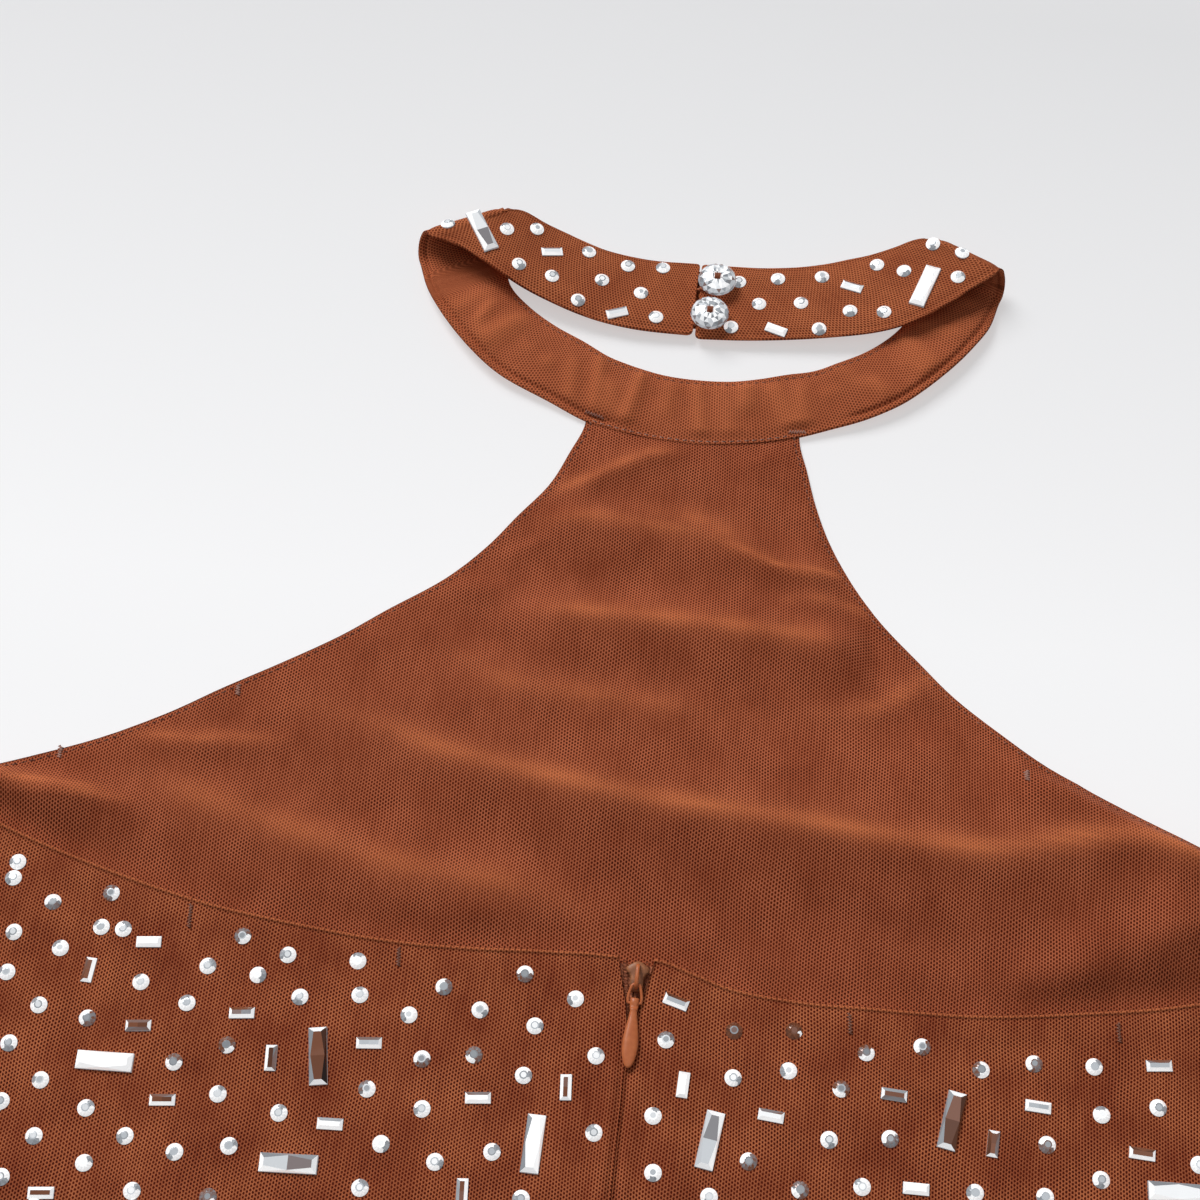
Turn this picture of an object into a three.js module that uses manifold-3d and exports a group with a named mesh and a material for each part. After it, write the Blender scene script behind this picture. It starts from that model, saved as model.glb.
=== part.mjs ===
// A halter-neck bodycon maxi dress in stretch power mesh, laid out flat on its front with the back up.
// Millimetres, +Z up. X runs across the dress, +Y from hem to collar, and the table is z = 0.
// The single front panel lies on the table with its inside up. The two back panels, which meet at
// a concealed zip, lie on it. The collar is one open ring of doubled cloth: its front half lies inside
// up, turns over in a rolled fold at each side, and its back half closes with two crystal buttons.
import * as THREE from "three";
import Module from "manifold-3d";
import { mergeVertices } from "three/addons/utils/BufferGeometryUtils.js";

const wasm = await Module();
wasm.setup();

// ---- driving dimensions ----
const CLOTH = 1.2; // a body panel: mesh laid double
const COLLAR_WALL = 2.0; // the collar band: two faces and their turned seams
const SEAM_GAP = 0.3; // between pieces that are sewn or lie together
const HEM_Y = -1150; // the hem, from the top of the zip at y = 0
const NECK_HALF = 33.3; // half the width of the seam between front and collar
const NECK_SEAM_Y = 167.3; // where that seam crosses the middle
const NECK_SEAM_SAG = 5.3; // how far the middle hangs below the seam's ends
const NECK_SLOPE = 0.023; // the seam lies turned a little anticlockwise
const UNDERARM_HALF = 205; // half the width across the underarms
const ZIP_LENGTH = 430;
const TAPE = { width: 12, wall: 0.8 };
const BAGUETTE = { length: 15, width: 5, height: 1.8, bevel: 1.2 };

// ---- colours ----
const RUST = 0x9c5233;
const RUST_METAL = 0xb5663f;
const CRYSTAL = 0xdfe3e8;

const cloth = new THREE.MeshStandardMaterial({ color: RUST, roughness: 0.85, metalness: 0 });
const tapeCloth = new THREE.MeshStandardMaterial({ color: RUST, roughness: 0.7, metalness: 0 });
const paintedMetal = new THREE.MeshStandardMaterial({ color: RUST_METAL, roughness: 0.45, metalness: 0.2 });
const crystal = new THREE.MeshStandardMaterial({ color: CRYSTAL, roughness: 0.1, metalness: 0.6 });

const dress = new THREE.Group();

function add(name, geometry, material) {
  const mesh = new THREE.Mesh(geometry, material);
  mesh.name = name;
  dress.add(mesh);
  return mesh;
}

// ---- outlines ----
// Half-widths of the laid dress. Above the underarm they are the armholes of the front panel.
const SIDES = [
  { y: -1150, left: 206, right: 206 },
  { y: -1040, left: 199, right: 199 },
  { y: -900, left: 193, right: 192 },
  { y: -750, left: 194, right: 193 },
  { y: -600, left: 203, right: 202 },
  { y: -470, left: 213, right: 213 },
  { y: -380, left: 215, right: 215 },
  { y: -290, left: 199, right: 200 },
  { y: -220, left: 172, right: 173 },
  { y: -165, left: 160, right: 160 },
  { y: -110, left: 167, right: 167 },
  { y: -50, left: 186, right: 186 },
  { y: 0, left: 199, right: 198 },
  { y: 31, left: UNDERARM_HALF, right: UNDERARM_HALF },
  { y: 40, left: 186, right: 182 },
  { y: 50, left: 162, right: 156 },
  { y: 60, left: 143.5, right: 132.5 },
  { y: 70, left: 128.5, right: 112.5 },
  { y: 80, left: 112.5, right: 97.5 },
  { y: 90, left: 97.5, right: 84 },
  { y: 100, left: 85, right: 73.5 },
  { y: 112, left: 69.5, right: 61.5 },
  { y: 124, left: 58.5, right: 52.3 },
  { y: 136, left: 50.3, right: 45.3 },
  { y: 148, left: 42, right: 40.3 },
  { y: 160, left: 37.2, right: 36.7 },
  { y: 173, left: NECK_HALF, right: NECK_HALF },
];

// The back's top edge on each side of the zip: its height at each distance from the centre.
const BACK_NECKLINE = [
  { x: 0, left: 2.2, right: 2.4 },
  { x: 12, left: 2.1, right: -0.4 },
  { x: 24, left: 1.6, right: -3.2 },
  { x: 45, left: 0.3, right: -4.8 },
  { x: 65, left: 0, right: -4.4 },
  { x: 95, left: 1.9, right: -3.4 },
  { x: 122, left: 5.3, right: 0.2 },
  { x: 150, left: 12, right: 5.4 },
  { x: 176, left: 20.5, right: 14 },
  { x: UNDERARM_HALF, left: 31, right: 31 },
];

// Half the opening between the back panels, which part round the slider.
const ZIP_PARTING = [
  { y: -60, left: 0.15, right: 0.15 },
  { y: -30, left: 0.2, right: 0.2 },
  { y: -20, left: 1.5, right: 1.7 },
  { y: -9, left: 4, right: 4.2 },
  { y: 2, left: 6, right: 7 },
];

// Soft ridges where the cloth stands off what it lies on. half is the half-length, turn the
// direction in degrees from +X, width the spread across the ridge.
const FRONT_RIDGES = [
  { x: 84, y: 47, half: 85, turn: 2, width: 10, height: 3.4 },
  { x: -10, y: 141, half: 48, turn: 3, width: 9, height: 2.4 },
  { x: 5, y: 110, half: 58, turn: -5, width: 11, height: 2.4 },
  { x: -36, y: 82, half: 62, turn: -3, width: 12, height: 2.4 },
  { x: -168, y: 37, half: 32, turn: -5, width: 6, height: 2 },
  { x: -128, y: 42, half: 42, turn: -22, width: 9, height: 2.6 },
  { x: 66, y: 90, half: 20, turn: 30, width: 7, height: 1.8 },
  { x: 36, y: 130, half: 24, turn: -12, width: 6, height: 1.8 },
  { x: -32, y: 154, half: 24, turn: 35, width: 7, height: 1.8 },
];
const BACK_RIDGES = [
  { x: -118, y: -196, half: 70, turn: -24, width: 15, height: 3.2 },
  { x: 112, y: -172, half: 64, turn: 20, width: 15, height: 3 },
  { x: 96, y: -236, half: 76, turn: -14, width: 18, height: 3.4 },
  { x: -84, y: -262, half: 72, turn: 16, width: 17, height: 3 },
  { x: -62, y: -560, half: 230, turn: 84, width: 22, height: 4 },
  { x: 88, y: -640, half: 260, turn: 97, width: 24, height: 4.4 },
  { x: -128, y: -900, half: 210, turn: 93, width: 22, height: 4 },
  { x: 46, y: -980, half: 180, turn: 88, width: 20, height: 3.6 },
  { x: 148, y: -960, half: 170, turn: 84, width: 18, height: 3.2 },
];

// The collar on each side, from the middle of the front to the back: its low edge, which carries the
// dress, and its high edge. X is the distance from the middle. Before the fold it lies inside up.
const COLLAR_MIDDLE = [
  { lowX: 0, lowZ: 1.1, highX: 0, highY: 190.4, highZ: 1.5 },
  { lowX: 12, lowZ: 1.1, highX: 10.5, highY: 191, highZ: 1.5 },
  { lowX: 23, lowZ: 1.1, highX: 19.5, highY: 192.9, highZ: 1.6 },
  { lowX: NECK_HALF, lowZ: 1.2, highX: 28, highY: 195.4, highZ: 1.7 },
];
const COLLAR_FRONT = {
  left: [
    { lowX: 46, lowY: 177.4, lowZ: 2.2, highX: 36.8, highY: 200.2, highZ: 1.8 },
    { lowX: 62, lowY: 184.6, lowZ: 3.4, highX: 46.9, highY: 205.4, highZ: 1.7 },
    { lowX: 72.5, lowY: 193, lowZ: 4, highX: 55.7, highY: 211.6, highZ: 1.6 },
    { lowX: 82, lowY: 203.6, lowZ: 3.8, highX: 62.8, highY: 219, highZ: 1.5 },
    { lowX: 89.3, lowY: 214.6, lowZ: 2.8, highX: 66, highY: 229, highZ: 1.4 },
  ],
  right: [
    { lowX: 43, lowY: 177, lowZ: 1.9, highX: 35.5, highY: 197.3, highZ: 1.8 },
    { lowX: 54, lowY: 181.4, lowZ: 2.9, highX: 43.2, highY: 201, highZ: 1.8 },
    { lowX: 64, lowY: 187.3, lowZ: 3.6, highX: 50.8, highY: 205.3, highZ: 1.7 },
    { lowX: 71.5, lowY: 193.9, lowZ: 3.9, highX: 56.8, highY: 210.2, highZ: 1.6 },
    { lowX: 79.5, lowY: 202.5, lowZ: 4, highX: 62, highY: 216, highZ: 1.5 },
    { lowX: 85.6, lowY: 210.6, lowZ: 3.8, highX: 65.4, highY: 222, highZ: 1.4 },
    { lowX: 90.6, lowY: 219, lowZ: 3.2, highX: 67.4, highY: 230, highZ: 1.4 },
  ],
};
const COLLAR_FOLD = {
  left: {
    start: { lowX: 93, lowY: 224, lowZ: 1.6, highX: 67.4, highY: 238.6, highZ: 1.3 },
    end: { lowX: 90, lowY: 229, lowZ: 11.3, highX: 67.4, highY: 242.4, highZ: 10.4 },
  },
  right: {
    start: { lowX: 93.5, lowY: 229, lowZ: 2.2, highX: 69.2, highY: 241.4, highZ: 1.3 },
    end: { lowX: 91, lowY: 234.4, lowZ: 11.3, highX: 70.8, highY: 245.8, highZ: 10.4 },
  },
};
const FOLD_ROLL = { low: 5, high: 2.6, steps: 7 };
const COLLAR_BACK = {
  left: [
    { lowX: 79.6, lowY: 226.2, lowZ: 10.9, highX: 61.4, highY: 243.6, highZ: 8.4 },
    { lowX: 71.8, lowY: 222.3, lowZ: 10.1, highX: 54, highY: 241, highZ: 6.3 },
    { lowX: 64.2, lowY: 218, lowZ: 8.8, highX: 47.3, highY: 238.8, highZ: 4.8 },
    { lowX: 57.4, lowY: 214.8, lowZ: 7.4, highX: 41.3, highY: 236.8, highZ: 3.9 },
    { lowX: 49.2, lowY: 211.8, lowZ: 6, highX: 34.8, highY: 234.9, highZ: 3.2 },
    { lowX: 40.8, lowY: 209.2, lowZ: 4.9, highX: 28.3, highY: 233.7, highZ: 2.8 },
    { lowX: 32.4, lowY: 207.3, lowZ: 4.1, highX: 22, highY: 233.1, highZ: 2.5 },
    { lowX: 21, lowY: 206, lowZ: 3.5, highX: 14.5, highY: 232.9, highZ: 2.3 },
    { lowX: 3.5, lowY: 206, lowZ: 3, highX: 3.3, highY: 233.4, highZ: 2.1 },
  ],
  right: [
    { lowX: 83.6, lowY: 228.2, lowZ: 10.9, highX: 64.6, highY: 246.2, highZ: 8.4 },
    { lowX: 77.2, lowY: 222.8, lowZ: 10.1, highX: 58.2, highY: 243.8, highZ: 6.3 },
    { lowX: 70, lowY: 217.8, lowZ: 8.8, highX: 51.4, highY: 241.4, highZ: 4.8 },
    { lowX: 62.6, lowY: 214, lowZ: 7.4, highX: 44.6, highY: 239.2, highZ: 3.9 },
    { lowX: 54, lowY: 211.4, lowZ: 6, highX: 37.8, highY: 237.1, highZ: 3.2 },
    { lowX: 40, lowY: 209, lowZ: 4.5, highX: 28, highY: 235, highZ: 2.7 },
    { lowX: 28, lowY: 207.4, lowZ: 3.7, highX: 19, highY: 234, highZ: 2.4 },
    { lowX: 12, lowY: 205.7, lowZ: 3.2, highX: 8.4, highY: 233.5, highZ: 2.2 },
    { lowX: -1.5, lowY: 204.9, lowZ: 3, highX: -1.3, highY: 233.4, highZ: 2.1 },
  ],
};

// ---- small functions ----
function through(rows, key, column, Interpolant = THREE.CubicInterpolant) {
  const keys = rows.map((row) => row[key]);
  const values = rows.map((row) => row[column]);
  const interpolant = new Interpolant(keys, values, 1);
  return (at) => interpolant.evaluate(at)[0];
}

const sideAt = { left: through(SIDES, "y", "left"), right: through(SIDES, "y", "right") };
const necklineAt = {
  left: through(BACK_NECKLINE, "x", "left"),
  right: through(BACK_NECKLINE, "x", "right"),
};
const partingAt = {
  left: through(ZIP_PARTING, "y", "left", THREE.LinearInterpolant),
  right: through(ZIP_PARTING, "y", "right", THREE.LinearInterpolant),
};

function neckSeam(x) {
  return NECK_SEAM_Y + NECK_SEAM_SAG * (x / NECK_HALF) ** 2 + NECK_SLOPE * x;
}

function lift(ridges, x, y) {
  let height = 0;
  for (const ridge of ridges) {
    const turn = THREE.MathUtils.degToRad(ridge.turn);
    const along = (x - ridge.x) * Math.cos(turn) + (y - ridge.y) * Math.sin(turn);
    const across = (y - ridge.y) * Math.cos(turn) - (x - ridge.x) * Math.sin(turn);
    const end = Math.max(0, 1 - (along / ridge.half) ** 2);
    height += ridge.height * end * end * Math.exp(-((across / ridge.width) ** 2));
  }
  return height;
}

// Values from start to stop, whose steps grow from first to last.
function spread(start, stop, first, last) {
  const span = Math.abs(stop - start);
  const count = Math.max(2, Math.round((2 * span) / (first + last)));
  const values = [];
  for (let i = 0; i <= count; i++) {
    const t = i / count;
    const share = (first * t + ((last - first) * t * t) / 2) / ((first + last) / 2);
    values.push(start + (stop - start) * share);
  }
  return values;
}

// A closed wall through a grid of points, each with its upper and lower face.
function wall(grid) {
  const rows = grid.length;
  const columns = grid[0].length;
  const positions = [];
  const faces = [];
  for (const side of ["upper", "lower"]) {
    for (const row of grid) {
      for (const point of row) positions.push(...point[side]);
    }
  }
  const upper = (i, j) => i * columns + j;
  const lower = (i, j) => rows * columns + i * columns + j;
  const quad = (a, b, c, d) => faces.push(a, b, c, a, c, d);
  for (let i = 0; i < rows - 1; i++) {
    for (let j = 0; j < columns - 1; j++) {
      quad(upper(i, j), upper(i + 1, j), upper(i + 1, j + 1), upper(i, j + 1));
      quad(lower(i, j), lower(i, j + 1), lower(i + 1, j + 1), lower(i + 1, j));
    }
    quad(upper(i, 0), lower(i, 0), lower(i + 1, 0), upper(i + 1, 0));
    quad(upper(i + 1, columns - 1), lower(i + 1, columns - 1), lower(i, columns - 1), upper(i, columns - 1));
  }
  for (let j = 0; j < columns - 1; j++) {
    quad(upper(0, j + 1), lower(0, j + 1), lower(0, j), upper(0, j));
    quad(upper(rows - 1, j), lower(rows - 1, j), lower(rows - 1, j + 1), upper(rows - 1, j + 1));
  }
  const geometry = new THREE.BufferGeometry();
  geometry.setAttribute("position", new THREE.Float32BufferAttribute(positions, 3));
  geometry.setIndex(faces);
  return geometry;
}

function toSolid(geometry) {
  const bare = geometry.clone();
  bare.deleteAttribute("normal");
  bare.deleteAttribute("uv");
  const merged = mergeVertices(bare, 1e-4);
  return new wasm.Manifold(
    new wasm.Mesh({
      numProp: 3,
      vertProperties: new Float32Array(merged.attributes.position.array),
      triVerts: new Uint32Array(merged.index.array),
    }),
  );
}

function toGeometry(solid) {
  const mesh = solid.getMesh();
  const geometry = new THREE.BufferGeometry();
  geometry.setAttribute("position", new THREE.BufferAttribute(mesh.vertProperties, 3));
  geometry.setIndex(new THREE.BufferAttribute(mesh.triVerts, 1));
  return geometry;
}

function joined(...geometries) {
  return toGeometry(geometries.map(toSolid).reduce((sum, solid) => sum.add(solid)));
}

// A flat shape pushed up from z = 0 by depth.
function slab(shape, depth) {
  return new THREE.ExtrudeGeometry(shape, { depth, bevelEnabled: false, curveSegments: 8 });
}

// ---- front panel ----
const FRONT_COLUMNS = 20;
const SEAM_FADE = 55; // the neck seam's curve has died out this far below it
const frontTop = neckSeam(NECK_HALF) - NECK_SLOPE * NECK_HALF;

function frontPanel() {
  const rowHeights = [...spread(frontTop, 31, 5, 8), ...spread(31, -60, 12, 24).slice(1)];
  rowHeights.push(...spread(-60, HEM_Y, 40, 52).slice(1));
  const grid = rowHeights.map((height) => {
    const fade = Math.max(0, 1 - (frontTop - height) / SEAM_FADE) ** 2;
    const row = [];
    for (let j = 0; j <= FRONT_COLUMNS; j++) {
      const u = (2 * j) / FRONT_COLUMNS - 1;
      const side = u < 0 ? sideAt.left : sideAt.right;
      const x = u * side(Math.min(height, 173));
      const y = height + fade * (neckSeam(u * NECK_HALF) - frontTop) - SEAM_GAP;
      const z = lift(FRONT_RIDGES, x, y);
      row.push({ upper: [x, y, z + CLOTH], lower: [x, y, z] });
    }
    return row;
  });
  return wall(grid);
}

// ---- back panels ----
const BACK_COLUMNS = 12;
const NECKLINE_FADE = 110; // the neckline's curve has died out this far below it
const TAPE_RISE = TAPE.wall + SEAM_GAP; // the panels climb onto the zip tapes
const TAPE_EDGE = { inner: 13.5, outer: 24 };

function zipRise(x, y) {
  const across = THREE.MathUtils.smoothstep(Math.abs(x), TAPE_EDGE.inner, TAPE_EDGE.outer);
  const along = THREE.MathUtils.smoothstep(-y, ZIP_LENGTH + 8, ZIP_LENGTH + 40);
  return TAPE_RISE * (1 - across) * (1 - along);
}

function backSurface(x, y) {
  return CLOTH + SEAM_GAP + zipRise(x, y) + lift(BACK_RIDGES, x, y) + CLOTH;
}

function backPanel(side) {
  const sign = side === "left" ? -1 : 1;
  const rowHeights = [...spread(0, -70, 7, 12), ...spread(-70, HEM_Y, 26, 40).slice(1)];
  const grid = rowHeights.map((height) => {
    const fade = Math.max(0, 1 + height / NECKLINE_FADE) ** 2;
    const row = [];
    for (let j = 0; j <= BACK_COLUMNS; j++) {
      const u = (j / BACK_COLUMNS) ** 1.15;
      const y = height + fade * necklineAt[side](u * UNDERARM_HALF);
      const inner = partingAt[side](Math.max(-60, Math.min(2, y)));
      const x = sign * (inner + u * (sideAt[side](y) - inner));
      const z = backSurface(x, y);
      row.push({ upper: [x, y, z], lower: [x, y, z - CLOTH] });
    }
    return sign < 0 ? row.reverse() : row;
  });
  return wall(grid);
}

// ---- collar ----
const COLLAR_STEPS = 108;
const COLLAR_COLUMNS = 4;

function foldedOver({ start, end }) {
  const outward = new THREE.Vector2(start.highY - start.lowY, start.lowX - start.highX).normalize();
  const rows = [];
  for (let i = 0; i < FOLD_ROLL.steps; i++) {
    const angle = (Math.PI * i) / (FOLD_ROLL.steps - 1);
    const risen = (1 - Math.cos(angle)) / 2;
    const row = {};
    for (const column of Object.keys(start)) {
      row[column] = THREE.MathUtils.lerp(start[column], end[column], risen);
    }
    for (const edge of ["low", "high"]) {
      const out = FOLD_ROLL[edge] * Math.sin(angle);
      row[`${edge}X`] += outward.x * out;
      row[`${edge}Y`] += outward.y * out;
    }
    rows.push(row);
  }
  return rows;
}

function collarStations(side) {
  const sign = side === "left" ? -1 : 1;
  const rows = [...COLLAR_MIDDLE, ...COLLAR_FRONT[side], ...foldedOver(COLLAR_FOLD[side])];
  return [...rows, ...COLLAR_BACK[side]].map((row) => {
    const { lowX, lowY = neckSeam(sign * lowX), lowZ, highX, highY, highZ } = row;
    const low = new THREE.Vector3(sign * lowX, lowY, lowZ);
    const high = new THREE.Vector3(sign * highX, highY, highZ);
    return { low, high };
  });
}

function collarSurface() {
  const left = collarStations("left").slice(1).reverse();
  const stations = [...left, ...collarStations("right")];
  const low = new THREE.CatmullRomCurve3(stations.map((s) => s.low));
  const high = new THREE.CatmullRomCurve3(stations.map((s) => s.high));
  return (s, k) => low.getPoint(s).lerp(high.getPoint(s), k);
}

const collarPoint = collarSurface();

function collarNormal(s, k) {
  const step = 1e-3;
  const ahead = collarPoint(Math.min(1, s + step), k).sub(collarPoint(Math.max(0, s - step), k));
  const across = collarPoint(s, 1).sub(collarPoint(s, 0));
  return across.cross(ahead).normalize().negate();
}

function collarBand() {
  const grid = [];
  for (let i = 0; i <= COLLAR_STEPS; i++) {
    const s = i / COLLAR_STEPS;
    const row = [];
    for (let j = 0; j <= COLLAR_COLUMNS; j++) {
      const k = j / COLLAR_COLUMNS;
      const centre = collarPoint(s, k);
      const half = collarNormal(s, k).multiplyScalar(COLLAR_WALL / 2);
      row.push({
        upper: centre.clone().add(half).toArray(),
        lower: centre.clone().sub(half).toArray(),
      });
    }
    grid.push(row);
  }
  return wall(grid);
}

// ---- large stones ----
// Big baguette stones stand up from the cloth they are fixed to. turn is in degrees from +X.
const BIG_STONES = [
  { x: -138.5, y: -41, turn: 2 },
  { x: -82, y: -33.5, turn: 100 },
  { x: -85, y: -62, turn: 3 },
  { x: -22, y: -50, turn: 89 },
  { x: 24, y: -44, turn: 82 },
  { x: 87, y: -32, turn: 80 },
  { x: 146, y: -44, turn: 2 },
];

// Two more on the collar, by how far round it from its left end and how far up from its low edge.
const COLLAR_STONES = [
  { around: 0.161, across: 0.42, turn: -59 },
  { around: 0.867, across: 0.34, turn: 72 },
];

// Below the panel stones listed above they go on in staggered rows, shifted a little from a strict grid.
const STONE_ROWS = { first: -112, pitch: 56, across: 58, side: 26, shift: 11 };

function scatter(seed) {
  const wave = Math.sin(seed * 12.9898) * 43758.5453;
  return wave - Math.floor(wave);
}

function bigStones() {
  const { first, pitch, across, side, shift } = STONE_ROWS;
  const stones = BIG_STONES.slice();
  let seed = 1;
  for (let y = first, row = 0; y > HEM_Y + side; y -= pitch, row++) {
    const start = row % 2 ? across : across / 2;
    for (let x = start; x < Math.min(sideAt.left(y), sideAt.right(y)) - side; x += across) {
      for (const sign of [-1, 1]) {
        stones.push({
          x: sign * x + shift * (scatter(seed) - 0.5),
          y: y + 2 * shift * (scatter(seed + 0.37) - 0.5),
          turn: (scatter(seed + 0.71) < 0.5 ? 0 : 90) + 16 * (scatter(seed + 0.13) - 0.5),
        });
        seed += 1;
      }
    }
  }
  return stones;
}

// A baguette with a bevelled crown, standing from just inside the surface under it.
function baguette() {
  const { length, width, height, bevel } = BAGUETTE;
  const sunk = CLOTH / 2;
  const rings = [
    [length / 2, width / 2, -sunk],
    [length / 2, width / 2, height * 0.45],
    [length / 2 - bevel, width / 2 - bevel, height],
  ];
  const positions = rings.flatMap(([x, y, z]) => [-x, -y, z, x, -y, z, x, y, z, -x, y, z]);
  const faces = [0, 2, 1, 0, 3, 2, 8, 9, 10, 8, 10, 11];
  for (const base of [0, 4]) {
    for (let i = 0; i < 4; i++) {
      const next = (i + 1) % 4;
      faces.push(base + i, base + next, base + 4 + next, base + i, base + 4 + next, base + 4 + i);
    }
  }
  const geometry = new THREE.BufferGeometry();
  geometry.setAttribute("position", new THREE.Float32BufferAttribute(positions, 3));
  geometry.setIndex(faces);
  return geometry;
}

function onPanel({ x, y, turn }) {
  const place = new THREE.Matrix4().makeRotationZ(THREE.MathUtils.degToRad(turn));
  return place.setPosition(x, y, backSurface(x, y));
}

function onCollar({ around, across, turn }) {
  const out = collarNormal(around, across).negate();
  const angle = THREE.MathUtils.degToRad(turn);
  const long = new THREE.Vector3(Math.cos(angle), Math.sin(angle), 0).projectOnPlane(out).normalize();
  const place = new THREE.Matrix4().makeBasis(long, out.clone().cross(long), out);
  return place.setPosition(collarPoint(around, across).addScaledVector(out, COLLAR_WALL / 2));
}

function withStones(piece, places) {
  const set = places.map((place) => toSolid(baguette().applyMatrix4(place)));
  return toGeometry(set.reduce((sum, stone) => sum.add(stone), toSolid(piece)));
}

// ---- buttons and their loops ----
const BUTTON = { radius: 6.3, height: 4.2, girdle: 1.5, table: 3, eye: 0.8, lifted: 1.7, shank: 1.1 };
const BUTTONS = [
  { name: "upper", x: 3, y: 225.2 },
  { name: "lower", x: 1.7, y: 211.9 },
];
const LOOP = { radius: 0.45, sides: 8, steps: 22 };

// The top face of the collar's back half over a point near its end.
function collarTop(y) {
  const end = COLLAR_BACK.right.at(-1);
  const k = (y - end.lowY) / (end.highY - end.lowY);
  return end.lowZ + k * (end.highZ - end.lowZ) + COLLAR_WALL / 2;
}

function button({ x, y }) {
  const b = BUTTON;
  const outline = [
    [0, SEAM_GAP],
    [b.shank, SEAM_GAP],
    [b.shank, b.lifted],
    [b.radius - 1.6, b.lifted],
    [b.radius, b.lifted + b.girdle],
    [b.radius - 1.2, b.lifted + b.height - 1.2],
    [b.table, b.lifted + b.height],
    [b.eye, b.lifted + b.height - 0.3],
    [b.eye, b.lifted + b.height - 1.3],
    [0, b.lifted + b.height - 1.3],
  ];
  const turned = new THREE.LatheGeometry(outline.map((p) => new THREE.Vector2(...p)), 16);
  return turned.rotateX(Math.PI / 2).translate(x, y, collarTop(y));
}

// The loop comes up between the collar's ends and round the button's shank.
function buttonLoop({ x, y }) {
  const top = collarTop(y) + SEAM_GAP + LOOP.radius;
  const round = BUTTON.shank + SEAM_GAP + LOOP.radius;
  const start = -COLLAR_BACK.left.at(-1).lowX + SEAM_GAP + LOOP.radius;
  const rise = [[0, -1.3], [0.05, -0.4], [0.5, 0.05], [1.5, 0]];
  const path = rise.map(([across, up]) => new THREE.Vector3(start + across, y - round, top + up));
  for (let i = 0; i <= 6; i++) {
    const angle = (Math.PI * i) / 6 - Math.PI / 2;
    path.push(new THREE.Vector3(x + round * Math.cos(angle), y + round * Math.sin(angle), top));
  }
  for (const [across, up] of rise.reverse()) {
    path.push(new THREE.Vector3(start + across, y + round, top + up));
  }
  const section = new THREE.Shape();
  for (let i = 0; i < LOOP.sides; i++) {
    const angle = (2 * Math.PI * i) / LOOP.sides;
    const corner = [LOOP.radius * Math.cos(angle), LOOP.radius * Math.sin(angle)];
    if (i === 0) section.moveTo(...corner);
    else section.lineTo(...corner);
  }
  return new THREE.ExtrudeGeometry(section, {
    steps: LOOP.steps,
    bevelEnabled: false,
    extrudePath: new THREE.CatmullRomCurve3(path),
  });
}

// ---- zip ----
const ZIP_X = 0.6; // the slider sits this far right of the middle
const SLIDER = { length: 8.4, top: 3.3, waist: 2.5, height: 2, y: 1 };
const BRIDGE = { width: 1.2, foot: 0.9, rise: 2.7, bar: 0.8, from: 0.6, to: -7 };
const LINK = { y: -5.4, apex: 1.6, half: 2.3, length: 5.7, wire: 0.8 };
const PULL = { length: 19.2, head: 1.4, neck: 1.3, widest: 2, wall: 1.5, eye: 0.85 };
const sliderBase = CLOTH + SEAM_GAP + TAPE.wall + SEAM_GAP;
const linkZ = sliderBase + SLIDER.height + 1;
const pullZ = backSurface(0, -20) + SEAM_GAP + PULL.wall / 2;

function zipTape(side) {
  const inner = 0.15;
  const [from, to] = side === "left" ? [-TAPE.width, -inner] : [inner, TAPE.width];
  const tape = new THREE.BoxGeometry(to - from, ZIP_LENGTH, TAPE.wall);
  return tape.translate((from + to) / 2, 1 - ZIP_LENGTH / 2, CLOTH + SEAM_GAP + TAPE.wall / 2);
}

function zipSlider() {
  const { length, top, waist, height, y } = SLIDER;
  const plate = new THREE.Shape();
  plate.moveTo(-top, 0);
  plate.quadraticCurveTo(0, 1.2, top, 0);
  plate.lineTo(waist, -length * 0.55);
  plate.lineTo(waist, -length);
  plate.lineTo(-waist, -length);
  plate.lineTo(-waist, -length * 0.55);
  plate.closePath();
  const arch = new THREE.Shape();
  arch.moveTo(BRIDGE.from, 0);
  arch.quadraticCurveTo(BRIDGE.from, BRIDGE.rise, -1.6, BRIDGE.rise);
  arch.lineTo(BRIDGE.to + 1.4, BRIDGE.rise);
  arch.quadraticCurveTo(BRIDGE.to, BRIDGE.rise, BRIDGE.to, 0);
  arch.closePath();
  const window = new THREE.Path();
  window.moveTo(BRIDGE.to + BRIDGE.foot, 0.3);
  window.lineTo(BRIDGE.to + BRIDGE.foot, BRIDGE.rise - BRIDGE.bar);
  window.lineTo(BRIDGE.from - BRIDGE.foot - 1, BRIDGE.rise - BRIDGE.bar);
  window.lineTo(BRIDGE.from - BRIDGE.foot, 0.3);
  window.closePath();
  arch.holes.push(window);
  const body = slab(plate, height).translate(ZIP_X, y, sliderBase);
  const bridge = slab(arch, BRIDGE.width).rotateX(Math.PI / 2).rotateZ(Math.PI / 2);
  bridge.translate(ZIP_X - BRIDGE.width / 2, 0, sliderBase + height - 0.1);
  return joined(body, bridge);
}

// The link is a D of wire, from its narrow end in the bridge to the bar that carries the pull.
function linkTilt() {
  return Math.atan2(linkZ - pullZ, LINK.length - LINK.wire);
}

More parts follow.
